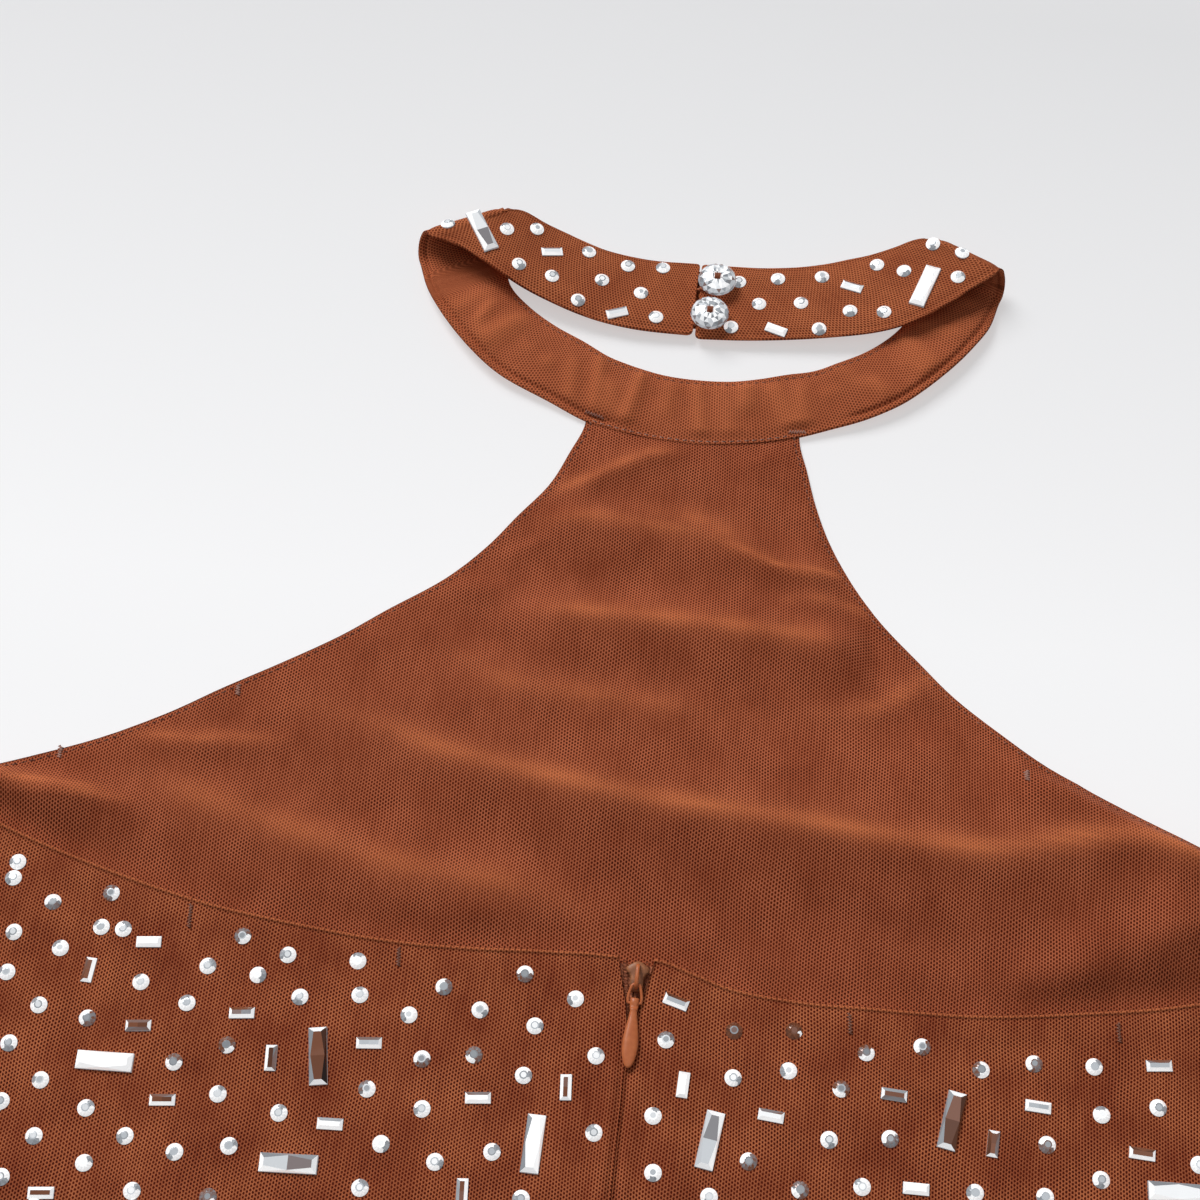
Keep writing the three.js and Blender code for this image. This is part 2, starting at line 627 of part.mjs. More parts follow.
function zipLink() {
  const { apex, half, length, wire } = LINK;
  const outline = (inset) => {
    const points = [
      [apex - inset * 0.7, wire / 2 - inset],
      [-apex + inset * 0.7, wire / 2 - inset],
      [-half + inset, -length * 0.45],
      [-half + inset, -length + wire / 2 + inset],
      [half - inset, -length + wire / 2 + inset],
      [half - inset, -length * 0.45],
    ];
    return points.map((p) => new THREE.Vector2(...p));
  };
  const ring = new THREE.Shape(outline(0));
  ring.holes.push(new THREE.Path(outline(wire)));
  const plate = slab(ring, wire).translate(0, 0, -wire / 2);
  return plate.rotateX(linkTilt()).translate(ZIP_X, LINK.y, linkZ);
}

const pullPivot = new THREE.Vector3(0, -(LINK.length - LINK.wire), 0)
  .applyAxisAngle(new THREE.Vector3(1, 0, 0), linkTilt())
  .add(new THREE.Vector3(ZIP_X, LINK.y, linkZ));

function zipPull() {
  const { length, head, neck, widest, wall: thick, eye } = PULL;
  const drop = new THREE.Shape();
  drop.moveTo(-neck, head);
  drop.lineTo(neck, head);
  drop.lineTo(neck, -4);
  drop.quadraticCurveTo(widest, -7.5, widest, -11);
  drop.quadraticCurveTo(widest, -length + head, 0, -length + head);
  drop.quadraticCurveTo(-widest, -length + head, -widest, -11);
  drop.quadraticCurveTo(-widest, -7.5, -neck, -4);
  drop.closePath();
  const section = new THREE.Shape();
  section.moveTo(head - 0.5, -head * 0.7);
  section.lineTo(head, 0);
  section.lineTo(head - 0.5, head * 0.7);
  section.lineTo(-0.8, head * 0.7);
  section.lineTo(-3, thick / 2);
  section.lineTo(-length + head, thick / 2);
  section.lineTo(-length + head, -thick / 2);
  section.lineTo(-3, -thick / 2);
  section.lineTo(-0.8, -head * 0.7);
  section.closePath();
  const bore = new THREE.Path();
  bore.absarc(0, 0, eye, 0, 2 * Math.PI, true);
  section.holes.push(bore);
  const tall = toSolid(slab(drop, 4).translate(0, 0, -2));
  const side = slab(section, 6).rotateX(Math.PI / 2).rotateZ(Math.PI / 2).translate(-3, 0, 0);
  return toGeometry(tall.intersect(toSolid(side))).translate(...pullPivot);
}

// ---- the dress ----
const stones = bigStones();
const leftStones = stones.filter((stone) => stone.x < 0).map(onPanel);
const rightStones = stones.filter((stone) => stone.x > 0).map(onPanel);
add("front_panel", frontPanel(), cloth);
add("back_left_panel", withStones(backPanel("left"), leftStones), cloth);
add("back_right_panel", withStones(backPanel("right"), rightStones), cloth);
add("collar_band", withStones(collarBand(), COLLAR_STONES.map(onCollar)), cloth);
for (const place of BUTTONS) {
  add(`button_${place.name}`, button(place), crystal);
  add(`button_loop_${place.name}`, buttonLoop(place), tapeCloth);
}
add("zip_tape_left", zipTape("left"), tapeCloth);
add("zip_tape_right", zipTape("right"), tapeCloth);
add("zip_slider", zipSlider(), paintedMetal);
add("zip_link", zipLink(), paintedMetal);
add("zip_pull", zipPull(), paintedMetal);

// The origin is on the table, in the middle of the laid dress.
const extent = new THREE.Box3().setFromObject(dress);
const middle = extent.getCenter(new THREE.Vector3());
dress.position.set(-middle.x, -middle.y, -extent.min.z);

export default dress;
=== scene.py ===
"""The finish of a halter-neck bodycon maxi dress in stretch power mesh, laid out flat with its back up."""

import math
from collections import namedtuple

import bpy
import numpy as np
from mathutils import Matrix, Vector
from mathutils.bvhtree import BVHTree


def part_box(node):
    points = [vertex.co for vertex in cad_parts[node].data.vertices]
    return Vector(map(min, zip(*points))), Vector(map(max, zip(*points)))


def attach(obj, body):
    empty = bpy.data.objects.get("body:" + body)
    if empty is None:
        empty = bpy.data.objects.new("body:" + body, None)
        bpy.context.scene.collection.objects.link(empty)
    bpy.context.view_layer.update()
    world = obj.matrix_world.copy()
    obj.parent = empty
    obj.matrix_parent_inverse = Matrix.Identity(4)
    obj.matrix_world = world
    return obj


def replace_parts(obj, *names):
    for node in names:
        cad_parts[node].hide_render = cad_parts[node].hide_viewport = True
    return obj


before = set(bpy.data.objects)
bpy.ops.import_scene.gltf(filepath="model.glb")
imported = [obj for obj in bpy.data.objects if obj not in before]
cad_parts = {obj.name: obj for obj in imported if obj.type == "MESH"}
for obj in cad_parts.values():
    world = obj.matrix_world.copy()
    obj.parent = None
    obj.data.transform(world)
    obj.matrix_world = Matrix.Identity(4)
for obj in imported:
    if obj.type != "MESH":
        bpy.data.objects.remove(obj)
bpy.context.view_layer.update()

# ---- the dress's own places ----
# Lengths are in millimetres from the top of the zip: x across the dress, y towards the collar, z up.
MM = 0.001
tape_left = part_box("zip_tape_left")
tape_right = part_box("zip_tape_right")
ZIP_MIDDLE = (tape_left[1][0] + tape_right[0][0]) / 2
ZIP_TOP = tape_left[1][1] - 1 * MM
HEM_Y = (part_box("back_left_panel")[0][1] - ZIP_TOP) / MM


def metres(points):
    """Points of the dress, in millimetres, as points of the row frame, in metres."""
    return np.asarray(points, float) * MM + np.array([ZIP_MIDDLE, ZIP_TOP, 0])


def millimetres(points):
    """Points of the row frame, in metres, as points of the dress, in millimetres."""
    return (np.asarray(points, float) - np.array([ZIP_MIDDLE, ZIP_TOP, 0])) / MM


def corners_of(node):
    """A node's lowest and highest corner, in millimetres of the dress."""
    return [millimetres(corner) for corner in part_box(node)]


# ---- camera ----
CAMERA_AT = (6.8, -150.9, 541.0)
CAMERA_TURN = 6.3  # degrees, anticlockwise from looking along +Y
CAMERA_DOWN = 64.0  # degrees below the horizon
FRAME_PIXELS = 1200
FOCAL_PIXELS = 2014.0
SENSOR = 36.0
VIEW_MARGIN = 6  # pixels past the frame's edge that still count as seen


def add_camera():
    data = bpy.data.cameras.new("camera")
    data.sensor_width = SENSOR
    data.lens = FOCAL_PIXELS * SENSOR / FRAME_PIXELS
    data.clip_start = 0.01
    camera = bpy.data.objects.new("camera", data)
    camera.location = metres(CAMERA_AT)
    camera.rotation_euler = (math.radians(90 - CAMERA_DOWN), 0, math.radians(CAMERA_TURN))
    bpy.context.scene.collection.objects.link(camera)
    bpy.context.scene.camera = camera


def camera_axes():
    """The camera's own directions: ahead, to the right and up."""
    turn, down = math.radians(CAMERA_TURN), math.radians(CAMERA_DOWN)
    ahead = np.array([-math.sin(turn) * math.cos(down), math.cos(turn) * math.cos(down), -math.sin(down)])
    right = np.array([math.cos(turn), math.sin(turn), 0])
    return ahead, right, np.cross(right, ahead)


def sight_line(across, down):
    """The direction in which the camera sees a pixel of its frame."""
    ahead, right, up = camera_axes()
    half = FRAME_PIXELS / 2
    return ahead * FOCAL_PIXELS + right * (across - half) - up * (down - half)


def in_view(point):
    """Whether the camera's frame holds a point of the dress."""
    ahead, right, up = camera_axes()
    reach = np.asarray(point, float) - np.array(CAMERA_AT)
    limit = FRAME_PIXELS / 2 + VIEW_MARGIN
    return all(abs(reach @ axis * FOCAL_PIXELS / (reach @ ahead)) < limit for axis in (right, up))


add_camera()
bpy.context.scene.view_settings.view_transform = "Standard"

# ---- the cut, as the solids have it ----
CLOTH = 1.2
COLLAR_WALL = 2.0
SEAM_GAP = 0.3
NECK_HALF = 33.3
NECK_SEAM_Y = 167.3
NECK_SEAM_SAG = 5.3
NECK_SLOPE = 0.023
UNDERARM_HALF = 205.0
ZIP_LENGTH = 430.0
TAPE_RISE = 1.1
TAPE_EDGE = (13.5, 24.0)
SEAM_FADE = 55.0
NECKLINE_FADE = 110.0

# y, then the half-width left and right. Above the underarm these are the front's armholes.
SIDES = np.array([
    (-1150, 206, 206), (-1040, 199, 199), (-900, 193, 192), (-750, 194, 193), (-600, 203, 202),
    (-470, 213, 213), (-380, 215, 215), (-290, 199, 200), (-220, 172, 173), (-165, 160, 160),
    (-110, 167, 167), (-50, 186, 186), (0, 199, 198), (31, UNDERARM_HALF, UNDERARM_HALF), (40, 186, 182),
    (50, 162, 156), (60, 143.5, 132.5), (70, 128.5, 112.5), (80, 112.5, 97.5), (90, 97.5, 84),
    (100, 85, 73.5), (112, 69.5, 61.5), (124, 58.5, 52.3), (136, 50.3, 45.3), (148, 42, 40.3),
    (160, 37.2, 36.7), (173, NECK_HALF, NECK_HALF),
])
# Distance from the middle, then the back's top edge left and right.
NECKLINE = np.array([
    (0, 2.2, 2.4), (12, 2.1, -0.4), (24, 1.6, -3.2), (45, 0.3, -4.8), (65, 0, -4.4), (95, 1.9, -3.4),
    (122, 5.3, 0.2), (150, 12, 5.4), (176, 20.5, 14), (UNDERARM_HALF, 31, 31),
])
# y, then half the opening between the back panels left and right.
PARTING = np.array([
    (-60, 0.24, 0.24), (-24, 0.26, 0.26), (-17, 0.6, 0.8), (-10, 1.7, 2.3), (-4, 3.4, 3.6), (2, 4.7, 4.8),
])

# The collar from the middle of the front to the back: low edge x, y, z, then high edge x, y, z.
# x is the distance from the middle, and the low edge of the first rows is the neck seam. -1 is the left
# half and 1 the right.
COLLAR_MIDDLE = [
    (0, None, 1.1, 0, 190.4, 1.5), (12, None, 1.1, 10.5, 191, 1.5), (23, None, 1.1, 19.5, 192.9, 1.6),
    (NECK_HALF, None, 1.2, 28, 195.4, 1.7),
]
COLLAR_FRONT = {
    -1: [
        (46, 177.4, 2.2, 36.8, 200.2, 1.8), (62, 184.6, 3.4, 46.9, 205.4, 1.7),
        (72.5, 193, 4, 55.7, 211.6, 1.6), (82, 203.6, 3.8, 62.8, 219, 1.5),
        (89.3, 214.6, 2.8, 66, 229, 1.4),
    ],
    1: [
        (43, 177, 1.9, 35.5, 197.3, 1.8), (54, 181.4, 2.9, 43.2, 201, 1.8),
        (64, 187.3, 3.6, 50.8, 205.3, 1.7), (71.5, 193.9, 3.9, 56.8, 210.2, 1.6),
        (79.5, 202.5, 4, 62, 216, 1.5), (85.6, 210.6, 3.8, 65.4, 222, 1.4),
        (90.6, 219, 3.2, 67.4, 230, 1.4),
    ],
}
COLLAR_FOLD = {
    -1: [(93, 224, 1.6, 67.4, 238.6, 1.3), (90, 229, 11.3, 67.4, 242.4, 10.4)],
    1: [(93.5, 229, 2.2, 69.2, 241.4, 1.3), (91, 234.4, 11.3, 70.8, 245.8, 10.4)],
}
FOLD_ROLL = (5.0, 2.6)
FOLD_STEPS = 7
COLLAR_BACK = {
    -1: [
        (85, 228, 11.2, 64.8, 243.8, 9.6), (79.6, 226.2, 10.9, 61.4, 244, 8.4),
        (71.8, 222.3, 10.1, 54, 241.4, 6.3), (64.2, 218, 8.8, 47.3, 239.5, 4.8),
        (57.4, 214.8, 7.4, 41.3, 237.5, 3.9), (49.2, 211.8, 6, 34.8, 235.6, 3.2),
        (40.8, 209.2, 4.9, 28.3, 234.4, 2.8), (32.4, 207.3, 4.1, 22, 233.8, 2.5),
        (21, 206, 3.5, 14.5, 233.6, 2.3), (3.1, 206, 3, 3.0, 234.1, 2.1),
    ],
    1: [
        (87.4, 231.2, 11.2, 68, 246.8, 9.6), (83.6, 228.2, 10.9, 64.6, 246.6, 8.4),
        (77.2, 222.8, 10.1, 58.2, 244.2, 6.3), (70, 217.8, 8.8, 51.4, 241.8, 4.8),
        (62.6, 214, 7.4, 44.6, 239.9, 3.9), (54, 211.4, 6, 37.8, 237.8, 3.2),
        (40, 209, 4.5, 28, 235.7, 2.7), (28, 207.4, 3.7, 19, 234.7, 2.4), (12, 205.7, 3.2, 8.4, 234.2, 2.2),
        (-2.3, 204.9, 3, -2.4, 234.1, 2.1),
    ],
}

# ---- creases ----
# Each is a line along the top of a crease, from left to right, then its spreads away from and towards the
# hem, its height and its edge: 1 is pressed and 2 rolled. A pair of spreads or heights is for its left and
# right ends, and fade is the share of the line over which each end dies out. The last field is a painted
# highlight along the top, set a little to the side away from the hem: how far the net's eyes close there and
# the cloth looks lighter, and over what reach.
Crease = namedtuple("Crease", "line far near rise sharp fade taut", defaults=[(0, 1)])
# How far the painted highlight along a crease lies past its top, on the side away from the hem.
TAUT_HIGHLIGHT_BEHIND = 1.2
BIG_ROLL = [(-124, 67), (-90, 64.5), (-60, 55.5), (-30, 50), (0, 46.2), (30, 44.6), (60, 42.5), (84, 41.2),
            (98, 41.8), (114, 45.8), (126, 48.6), (138, 49), (152, 45), (172, 38)]
FRONT_CREASES = [
    Crease(BIG_ROLL, 32, (19, 29), (5.2, 9.2), 2, (0.3, 0.1)),
    Crease(BIG_ROLL, (7, 4), (8, 6), (1.8, 2.2), 1.5, (0.2, 0.08), (1.0, 3.4)),
    Crease([(-152, 41), (-128, 34.5), (-98, 27), (-68, 20.5), (-40, 18.5), (-22, 15.5), (-4, 9)], 8, 13,
           3.8, 1.9, (0.2, 0.4), (0.65, 4.6)),
    Crease([(-206, 40), (-186, 35), (-162, 32), (-142, 28)], 4.5, 13, 5.2, 1.8, (0.1, 0.4)),
    Crease([(-200, 38), (-182, 34), (-162, 32.5), (-146, 31)], 2.4, 3.2, 1.7, 1.2, (0.1, 0.3), (1.0, 2.0)),
    Crease([(-155, 53), (-137, 52), (-123, 53.5), (-102, 55)], 3, 6, 2.0, 1.5, (0.3, 0.4), (0.7, 2.2)),
    Crease([(-70, 91), (-55, 83), (-42, 78), (-14, 76.5), (8, 76), (30, 76)], 6, 12, 2.4, 1.8, (0.3, 0.4),
           (0.5, 4.0)),
    Crease([(-54, 102), (-34, 102), (-7, 102.5), (23, 102.5), (40, 101), (60, 103)], 9, 17, 5.4, 2,
           (0.25, 0.15)),
    Crease([(-46, 103), (-22, 103), (8, 103), (26, 102), (54, 101.5)], 4, 6, 1.2, 1.6, (0.25, 0.2),
           (0.8, 3.8)),
    Crease([(-46, 132.5), (-37, 134.5), (-25, 136), (-10, 134.5), (5, 133), (18, 129), (30, 125), (42, 124),
           (52, 126)], 6.5, 15, 3.6, 2, (0.2, 0.15), (0.6, 3.0)),
    Crease([(-18, 140), (1, 139), (12, 135), (22, 128)], 6, 6, 1.6, 1.8, (0.4, 0.4), (0.6, 5.0)),
    Crease([(12, 131), (20, 128), (32, 124.5), (50, 125)], 2.6, 2.8, 1.7, 1.2, (0.4, 0.1), (0.9, 1.5)),
    Crease([(-41, 143.5), (-33, 148), (-20, 156), (-11, 161), (0, 163.5)], 3.4, 4.6, 2.3, 1.5, (0.2, 0.3),
           (0.7, 2.6)),
    Crease([(-54, 121), (-45, 126), (-38, 129)], 2.6, 4.2, 1.3, 1.4, (0.2, 0.5)),
    Crease([(-68, 111.5), (-56, 110), (-47, 113)], 3, 5, 1.4, 1.5, (0.2, 0.5)),
    Crease([(28, 113), (43, 115.5), (58, 113.5)], 2.6, 4.4, 1.4, 1.4, (0.5, 0.1), (0.5, 2.2)),
    Crease([(36, 77), (57, 81), (68, 87), (78, 96)], 4, 5, 1.8, 1.5, (0.5, 0.1), (0.6, 2.8)),
    Crease([(94, 56), (106, 60), (112, 64), (120, 68)], 3, 5.5, 1.6, 1.5, (0.4, 0.1)),
    Crease([(66, 52), (76, 66), (86, 82)], 7, 5.5, 1.5, 1.8, (0.4, 0.3)),
    Crease([(92, 4), (112, 11), (126, 16), (140, 22), (154, 29), (176, 38)], 10, 9, 4.4, 1.8, (0.35, 0.2)),
    Crease([(132, 52), (143, 49), (158, 44)], 3, 4.4, 0.9, 1.4, (0.3, 0.3)),
    Crease([(14, 160), (24, 164), (32, 168)], 3, 3.4, 0.8, 1.5, (0.4, 0.2)),
]
BACK_CREASES = [
    Crease([(-182, -168), (-118, -196), (-54, -224)], 13, 15, 3.2, 1.8, (0.3, 0.3)),
    Crease([(52, -194), (112, -172), (172, -150)], 13, 15, 3.0, 1.8, (0.3, 0.3)),
    Crease([(22, -218), (96, -236), (170, -254)], 15, 18, 3.4, 1.8, (0.3, 0.3)),
    Crease([(-153, -282), (-84, -262), (-15, -242)], 15, 18, 3.0, 1.8, (0.3, 0.3)),
    Crease([(-86, -788), (-60, -560), (-38, -332)], 20, 24, 4.0, 1.8, (0.4, 0.4)),
    Crease([(56, -898), (88, -640), (120, -382)], 22, 26, 4.4, 1.8, (0.4, 0.4)),
    Crease([(-139, -1110), (-128, -900), (-117, -690)], 20, 24, 4.0, 1.8, (0.4, 0.4)),
    Crease([(40, -1160), (46, -980), (52, -800)], 18, 22, 3.6, 1.8, (0.4, 0.4)),
    Crease([(166, -1130), (148, -960), (130, -790)], 16, 20, 3.2, 1.8, (0.4, 0.4)),
    Crease([(-150, -20), (-100, -30), (-50, -24)], 9, 11, 0.7, 2, (0.4, 0.4)),
    Crease([(30, -34), (80, -26), (130, -30)], 9, 12, 0.8, 2, (0.4, 0.4)),
    Crease([(96, -66), (128, -58), (176, -62)], 9, 12, 0.9, 2, (0.4, 0.4)),
    Crease([(-176, -66), (-130, -76), (-90, -70)], 9, 12, 0.8, 2, (0.4, 0.4)),
    Crease([(-190, 14), (-172, 0), (-150, -8)], 5, 8, 0.7, 2, (0.3, 0.4)),
]


def through(rows, column, at):
    """A smooth curve through a table's rows, read at the places asked for."""
    keys, values = rows[:, 0], rows[:, column]
    at = np.clip(at, keys[0], keys[-1])
    i = np.clip(np.searchsorted(keys, at, side="right") - 1, 0, len(keys) - 2)
    before, after = np.maximum(i - 1, 0), np.minimum(i + 2, len(keys) - 1)
    gap = keys[i + 1] - keys[i]
    flat_start = 2 * keys[i] - keys[i + 1]
    flat_end = 2 * keys[i + 1] - keys[i]
    first = np.where(i == 0, flat_start, keys[before])
    last = np.where(i == len(keys) - 2, flat_end, keys[after])
    value_first = np.where(i == 0, values[i + 1], values[before])
    value_last = np.where(i == len(keys) - 2, values[i], values[after])
    p = (at - keys[i]) / gap
    back = gap / 2 / (keys[i] - first)
    on = gap / 2 / (last - keys[i + 1])
    part = value_first * (-back * p**3 + 2 * back * p**2 - back * p)
    part += values[i] * ((1 + back) * p**3 + (-1.5 - 2 * back) * p**2 + (-0.5 + back) * p + 1)
    part += values[i + 1] * ((-1 - on) * p**3 + (1.5 + on) * p**2 + 0.5 * p)
    return part + value_last * (on * p**3 - on * p**2)


def side_column(sign):
    """The column that holds the left or the right in a table of both."""
    return 1 if sign < 0 else 2


def half_width(sign, y):
    return through(SIDES, side_column(sign), y)


def back_top(sign, across):
    """How far the back's top edge lies from its level at a distance from the middle."""
    return through(NECKLINE, side_column(sign), across)


def parted(sign, y):
    """Half the opening between the back panels, on one side."""
    return np.interp(y, PARTING[:, 0], PARTING[:, side_column(sign)])


def neck_seam(x):
    """How high the seam between the front and the collar lies."""
    return NECK_SEAM_Y + NECK_SEAM_SAG * (x / NECK_HALF) ** 2 + NECK_SLOPE * x


def smooth_step(value, start, end):
    """0 up to the start, 1 from the end, and a smooth rise in between."""
    t = np.clip((value - start) / (end - start), 0, 1)
    return t * t * (3 - 2 * t)


def unit(vectors):
    return vectors / np.linalg.norm(vectors, axis=-1, keepdims=True)


def distance_along(line):
    """How far along a line each of its points is."""
    return np.concatenate([[0], np.cumsum(np.linalg.norm(np.diff(line, axis=0), axis=1))])


def creased(creases, x, y):
    """How far the creases lift the cloth at each point, and the painted highlight along their tops, where the
    net is stretched.
    """
    height, taut = np.zeros_like(x), np.zeros_like(x)
    for crease in creases:
        corners = np.array(crease.line, float)
        rows = np.column_stack([np.linspace(0, 1, len(corners)), corners])
        fine = np.linspace(0, 1, 5 * len(corners))
        line = np.column_stack([through(rows, 1, fine), through(rows, 2, fine)])
        nearest, along, far_side = np.full_like(x, 1e9), np.zeros_like(x), np.zeros_like(x)
        for n, (start, end) in enumerate(zip(line[:-1], line[1:])):
            span = end - start
            t = np.clip(((x - start[0]) * span[0] + (y - start[1]) * span[1]) / (span @ span), 0, 1)
            away = np.hypot(x - start[0] - t * span[0], y - start[1] - t * span[1])
            closer = away < nearest
            nearest = np.where(closer, away, nearest)
            along = np.where(closer, (n + t) / (len(line) - 1), along)
            far_side = np.where(closer, span[0] * (y - start[1]) - span[1] * (x - start[0]), far_side)
        ends = (crease.far, crease.near, crease.rise)
        far, near, rise = (np.interp(along, (0, 1), np.broadcast_to(pair, 2)) for pair in ends)
        spread = np.where(far_side > 0, far, near)
        first, last = crease.fade
        lasting = smooth_step(along, 0, first) * (1 - smooth_step(along, 1 - last, 1))
        height += rise * lasting * np.exp(-((nearest / spread) ** crease.sharp))
        amount, reach = crease.taut
        behind = nearest * np.sign(far_side) - TAUT_HIGHLIGHT_BEHIND
        uneven = 0.8 + 0.2 * np.sin(along * 19 + x * 0.11)
        taut = np.maximum(taut, amount * uneven * lasting * np.exp(-((np.abs(behind) / reach) ** 1.6)))
    return height, taut


SLACK_WAVES = (19, 27, 34, 46, 61, 83)  # their lengths


def slack(x, y, size, seed):
    """The small uneven waves that knitted cloth keeps however it is smoothed, up to size high."""
    draw = np.random.default_rng(seed)
    total = np.zeros_like(x)
    for length in SLACK_WAVES:
        turn, phase = draw.uniform(0, np.pi), draw.uniform(0, 2 * np.pi)
        bend = 0.6 * np.sin((x * np.sin(turn) - y * np.cos(turn)) * 2 * np.pi / (length * 3.1) + phase)
        total += np.sin((x * np.cos(turn) + y * np.sin(turn)) * 2 * np.pi / length + phase + bend)
    return total * size / len(SLACK_WAVES)


# ---- mesh making ----
def add_piece(name, points, faces, material, smooth=True, uv=None, painted_reflection=None, taut=None):
    """A mesh from points in millimetres, with its material. If given, uv and the painted highlight are for
    each point, and the lightness of each facet's painted reflection is for each face."""
    mesh = bpy.data.meshes.new(name)
    mesh.from_pydata(metres(points).tolist(), [], faces)
    if smooth:
        mesh.polygons.foreach_set("use_smooth", [True] * len(mesh.polygons))
    if uv is not None:
        corners = np.zeros(len(mesh.loops), np.int32)
        mesh.loops.foreach_get("vertex_index", corners)
        layer = mesh.uv_layers.new(name="cloth_mm")
        layer.data.foreach_set("uv", np.asarray(uv, float)[corners].ravel())
    for layer_name, domain, values in (("facet", "FACE", painted_reflection), ("taut", "POINT", taut)):
        if values is not None:
            layer = mesh.attributes.new(layer_name, "FLOAT", domain)
            layer.data.foreach_set("value", np.asarray(values, float))
    mesh.materials.append(material)
    mesh.update()
    piece = bpy.data.objects.new(name, mesh)
    bpy.context.scene.collection.objects.link(piece)
    return piece


def merged(solids):
    """Many small solids as one: all their points, and their faces numbered to suit."""
    points, faces, base = [], [], 0
    for corners, sides in solids:
        points.append(corners)
        faces += [[base + i for i in side] for side in sides]
        base += len(corners)
    return np.vstack(points), faces


RIM_FLAT = 0.32  # half the part of a cloth's edge that isn't rounded, as a share of its thickness
RIM_DEEP = 0.12  # how far in the rounding starts, as a share of its thickness


def cloth_wall(name, upper, lower, uv, inside_up, taut):
    """A closed thin shell with rounded edges, from the grids of its upper and lower faces."""
    upper, lower = upper.copy(), lower.copy()
    rows, columns = upper.shape[:2]
    ring = [(0, j) for j in range(columns)] + [(i, columns - 1) for i in range(1, rows)]
    ring += [(rows - 1, j) for j in range(columns - 2, -1, -1)] + [(i, 0) for i in range(rows - 2, 0, -1)]
    rim, rim_uv, rim_taut_highlight = [], [], []
    for i, j in ring:
        inner = (min(max(i, 1), rows - 2), min(max(j, 1), columns - 2))
        middle = (upper[i, j] + lower[i, j]) / 2
        through_wall = upper[i, j] - lower[i, j]
        outward = middle - (upper[inner] + lower[inner]) / 2
        outward /= max(np.linalg.norm(outward), 1e-6)
        thick = np.linalg.norm(through_wall)
        rim.append(middle)
        rim_uv.append(uv[i, j])
        rim_taut_highlight.append(taut[i, j])
        upper[i, j] = middle + through_wall * RIM_FLAT - outward * thick * RIM_DEEP
        lower[i, j] = middle - through_wall * RIM_FLAT - outward * thick * RIM_DEEP
    size = rows * columns
    number = np.arange(size).reshape(rows, columns)
    a, b = number[:-1, :-1].ravel(), number[1:, :-1].ravel()
    c, d = number[1:, 1:].ravel(), number[:-1, 1:].ravel()
    faces = np.column_stack([a, b, c, d]).tolist()
    faces += np.column_stack([a + size, d + size, c + size, b + size]).tolist()
    for n, (i, j) in enumerate(ring):
        k, l = ring[(n + 1) % len(ring)]
        here, there = int(number[i, j]), int(number[k, l])
        rim_here, rim_there = 2 * size + n, 2 * size + (n + 1) % len(ring)
        faces.append([there, here, rim_here, rim_there])
        faces.append([rim_there, rim_here, here + size, there + size])
    points = np.concatenate([upper.reshape(-1, 3), lower.reshape(-1, 3), np.array(rim)])
    flat_uv = uv.reshape(-1, 2)
    all_uv = np.concatenate([flat_uv, flat_uv, np.array(rim_uv)])
    all_taut_highlight = np.concatenate([taut.ravel(), taut.ravel(), rim_taut_highlight])
    piece = add_piece(name, points, faces, net_outside, uv=all_uv, taut=all_taut_highlight)
    piece.data.materials.append(net_inside)
    of_upper, half = len(a), np.zeros(len(faces), np.int32)
    half[slice(0, of_upper) if inside_up else slice(of_upper, 2 * of_upper)] = 1
    piece.data.polygons.foreach_set("material_index", half)
    return piece


def graded(start, end, first, last):
    """Values from start to end whose steps grow from first to last."""
    count = max(2, round(2 * abs(end - start) / (first + last)))
    t = np.linspace(0, 1, count + 1)
    share = (first * t + (last - first) * t * t / 2) / ((first + last) / 2)
    return start + (end - start) * share


# ---- materials ----
def linear(hexa):
    """A colour given as an sRGB hex value, as linear light."""
    channels = [int(hexa[i : i + 2], 16) / 255 for i in (0, 2, 4)]
    return [c / 12.92 if c <= 0.04045 else ((c + 0.055) / 1.055) ** 2.4 for c in channels] + [1]


def plug(tree, node, inputs):
    """Sets a node's inputs. Each is a value, or an output of another node to link."""
    for name, value in inputs.items():
        if isinstance(value, bpy.types.NodeSocket):
            tree.links.new(value, node.inputs[name])
        else:
            node.inputs[name].default_value = value


def put(tree, kind, inputs=None, out=0, **settings):
    """Adds a node with its settings and inputs, and gives back one of its outputs."""
    made = tree.nodes.new("ShaderNode" + kind)
    for name, value in settings.items():
        setattr(made, name, value)
    plug(tree, made, inputs or {})
    return made.outputs[out]


def start_material(name):
    """A new material, its nodes and its shader."""
    material = bpy.data.materials.new(name)
    material.use_nodes = True
    tree = material.node_tree
    return material, tree, tree.nodes["Principled BSDF"]


def grained_material(name, scale, detail, dark, light):
    """A material whose colour wanders between two, with its place and grain for what is added to it."""
    material, tree, shader = start_material(name)
    place = put(tree, "TexCoord", out="Object")
    grain = put(tree, "TexNoise", {"Vector": place, "Scale": scale, "Detail": detail})
    colour = put(tree, "Mix", {"Factor": grain, "A": linear(dark), "B": linear(light)}, "Result",
                 data_type="RGBA")
    plug(tree, shader, {"Base Color": colour})
    return material, tree, shader, place, grain


# Power mesh is warp-knitted: its eyes stand in columns, and each column is half a course off the next.
WALE = 0.78  # between columns of eyes
COURSE = 1.07  # between eyes in a column
EYE = 0.43  # across an eye
EYE_TALL = 0.74  # its width over its height
# Scales of its other patterns, for each mm.
DRIFT = 0.035  # the two plies slide over one another in waves about 29 mm long
CLOUD = 0.06  # patches about 17 mm across that look lighter or darker
WALE_STREAK = (0.7, 0.09, 0)  # streaks 1.4 mm apart and 11 mm long, along the wales
FILAMENT = 2.5  # its yarns, 0.4 mm thick


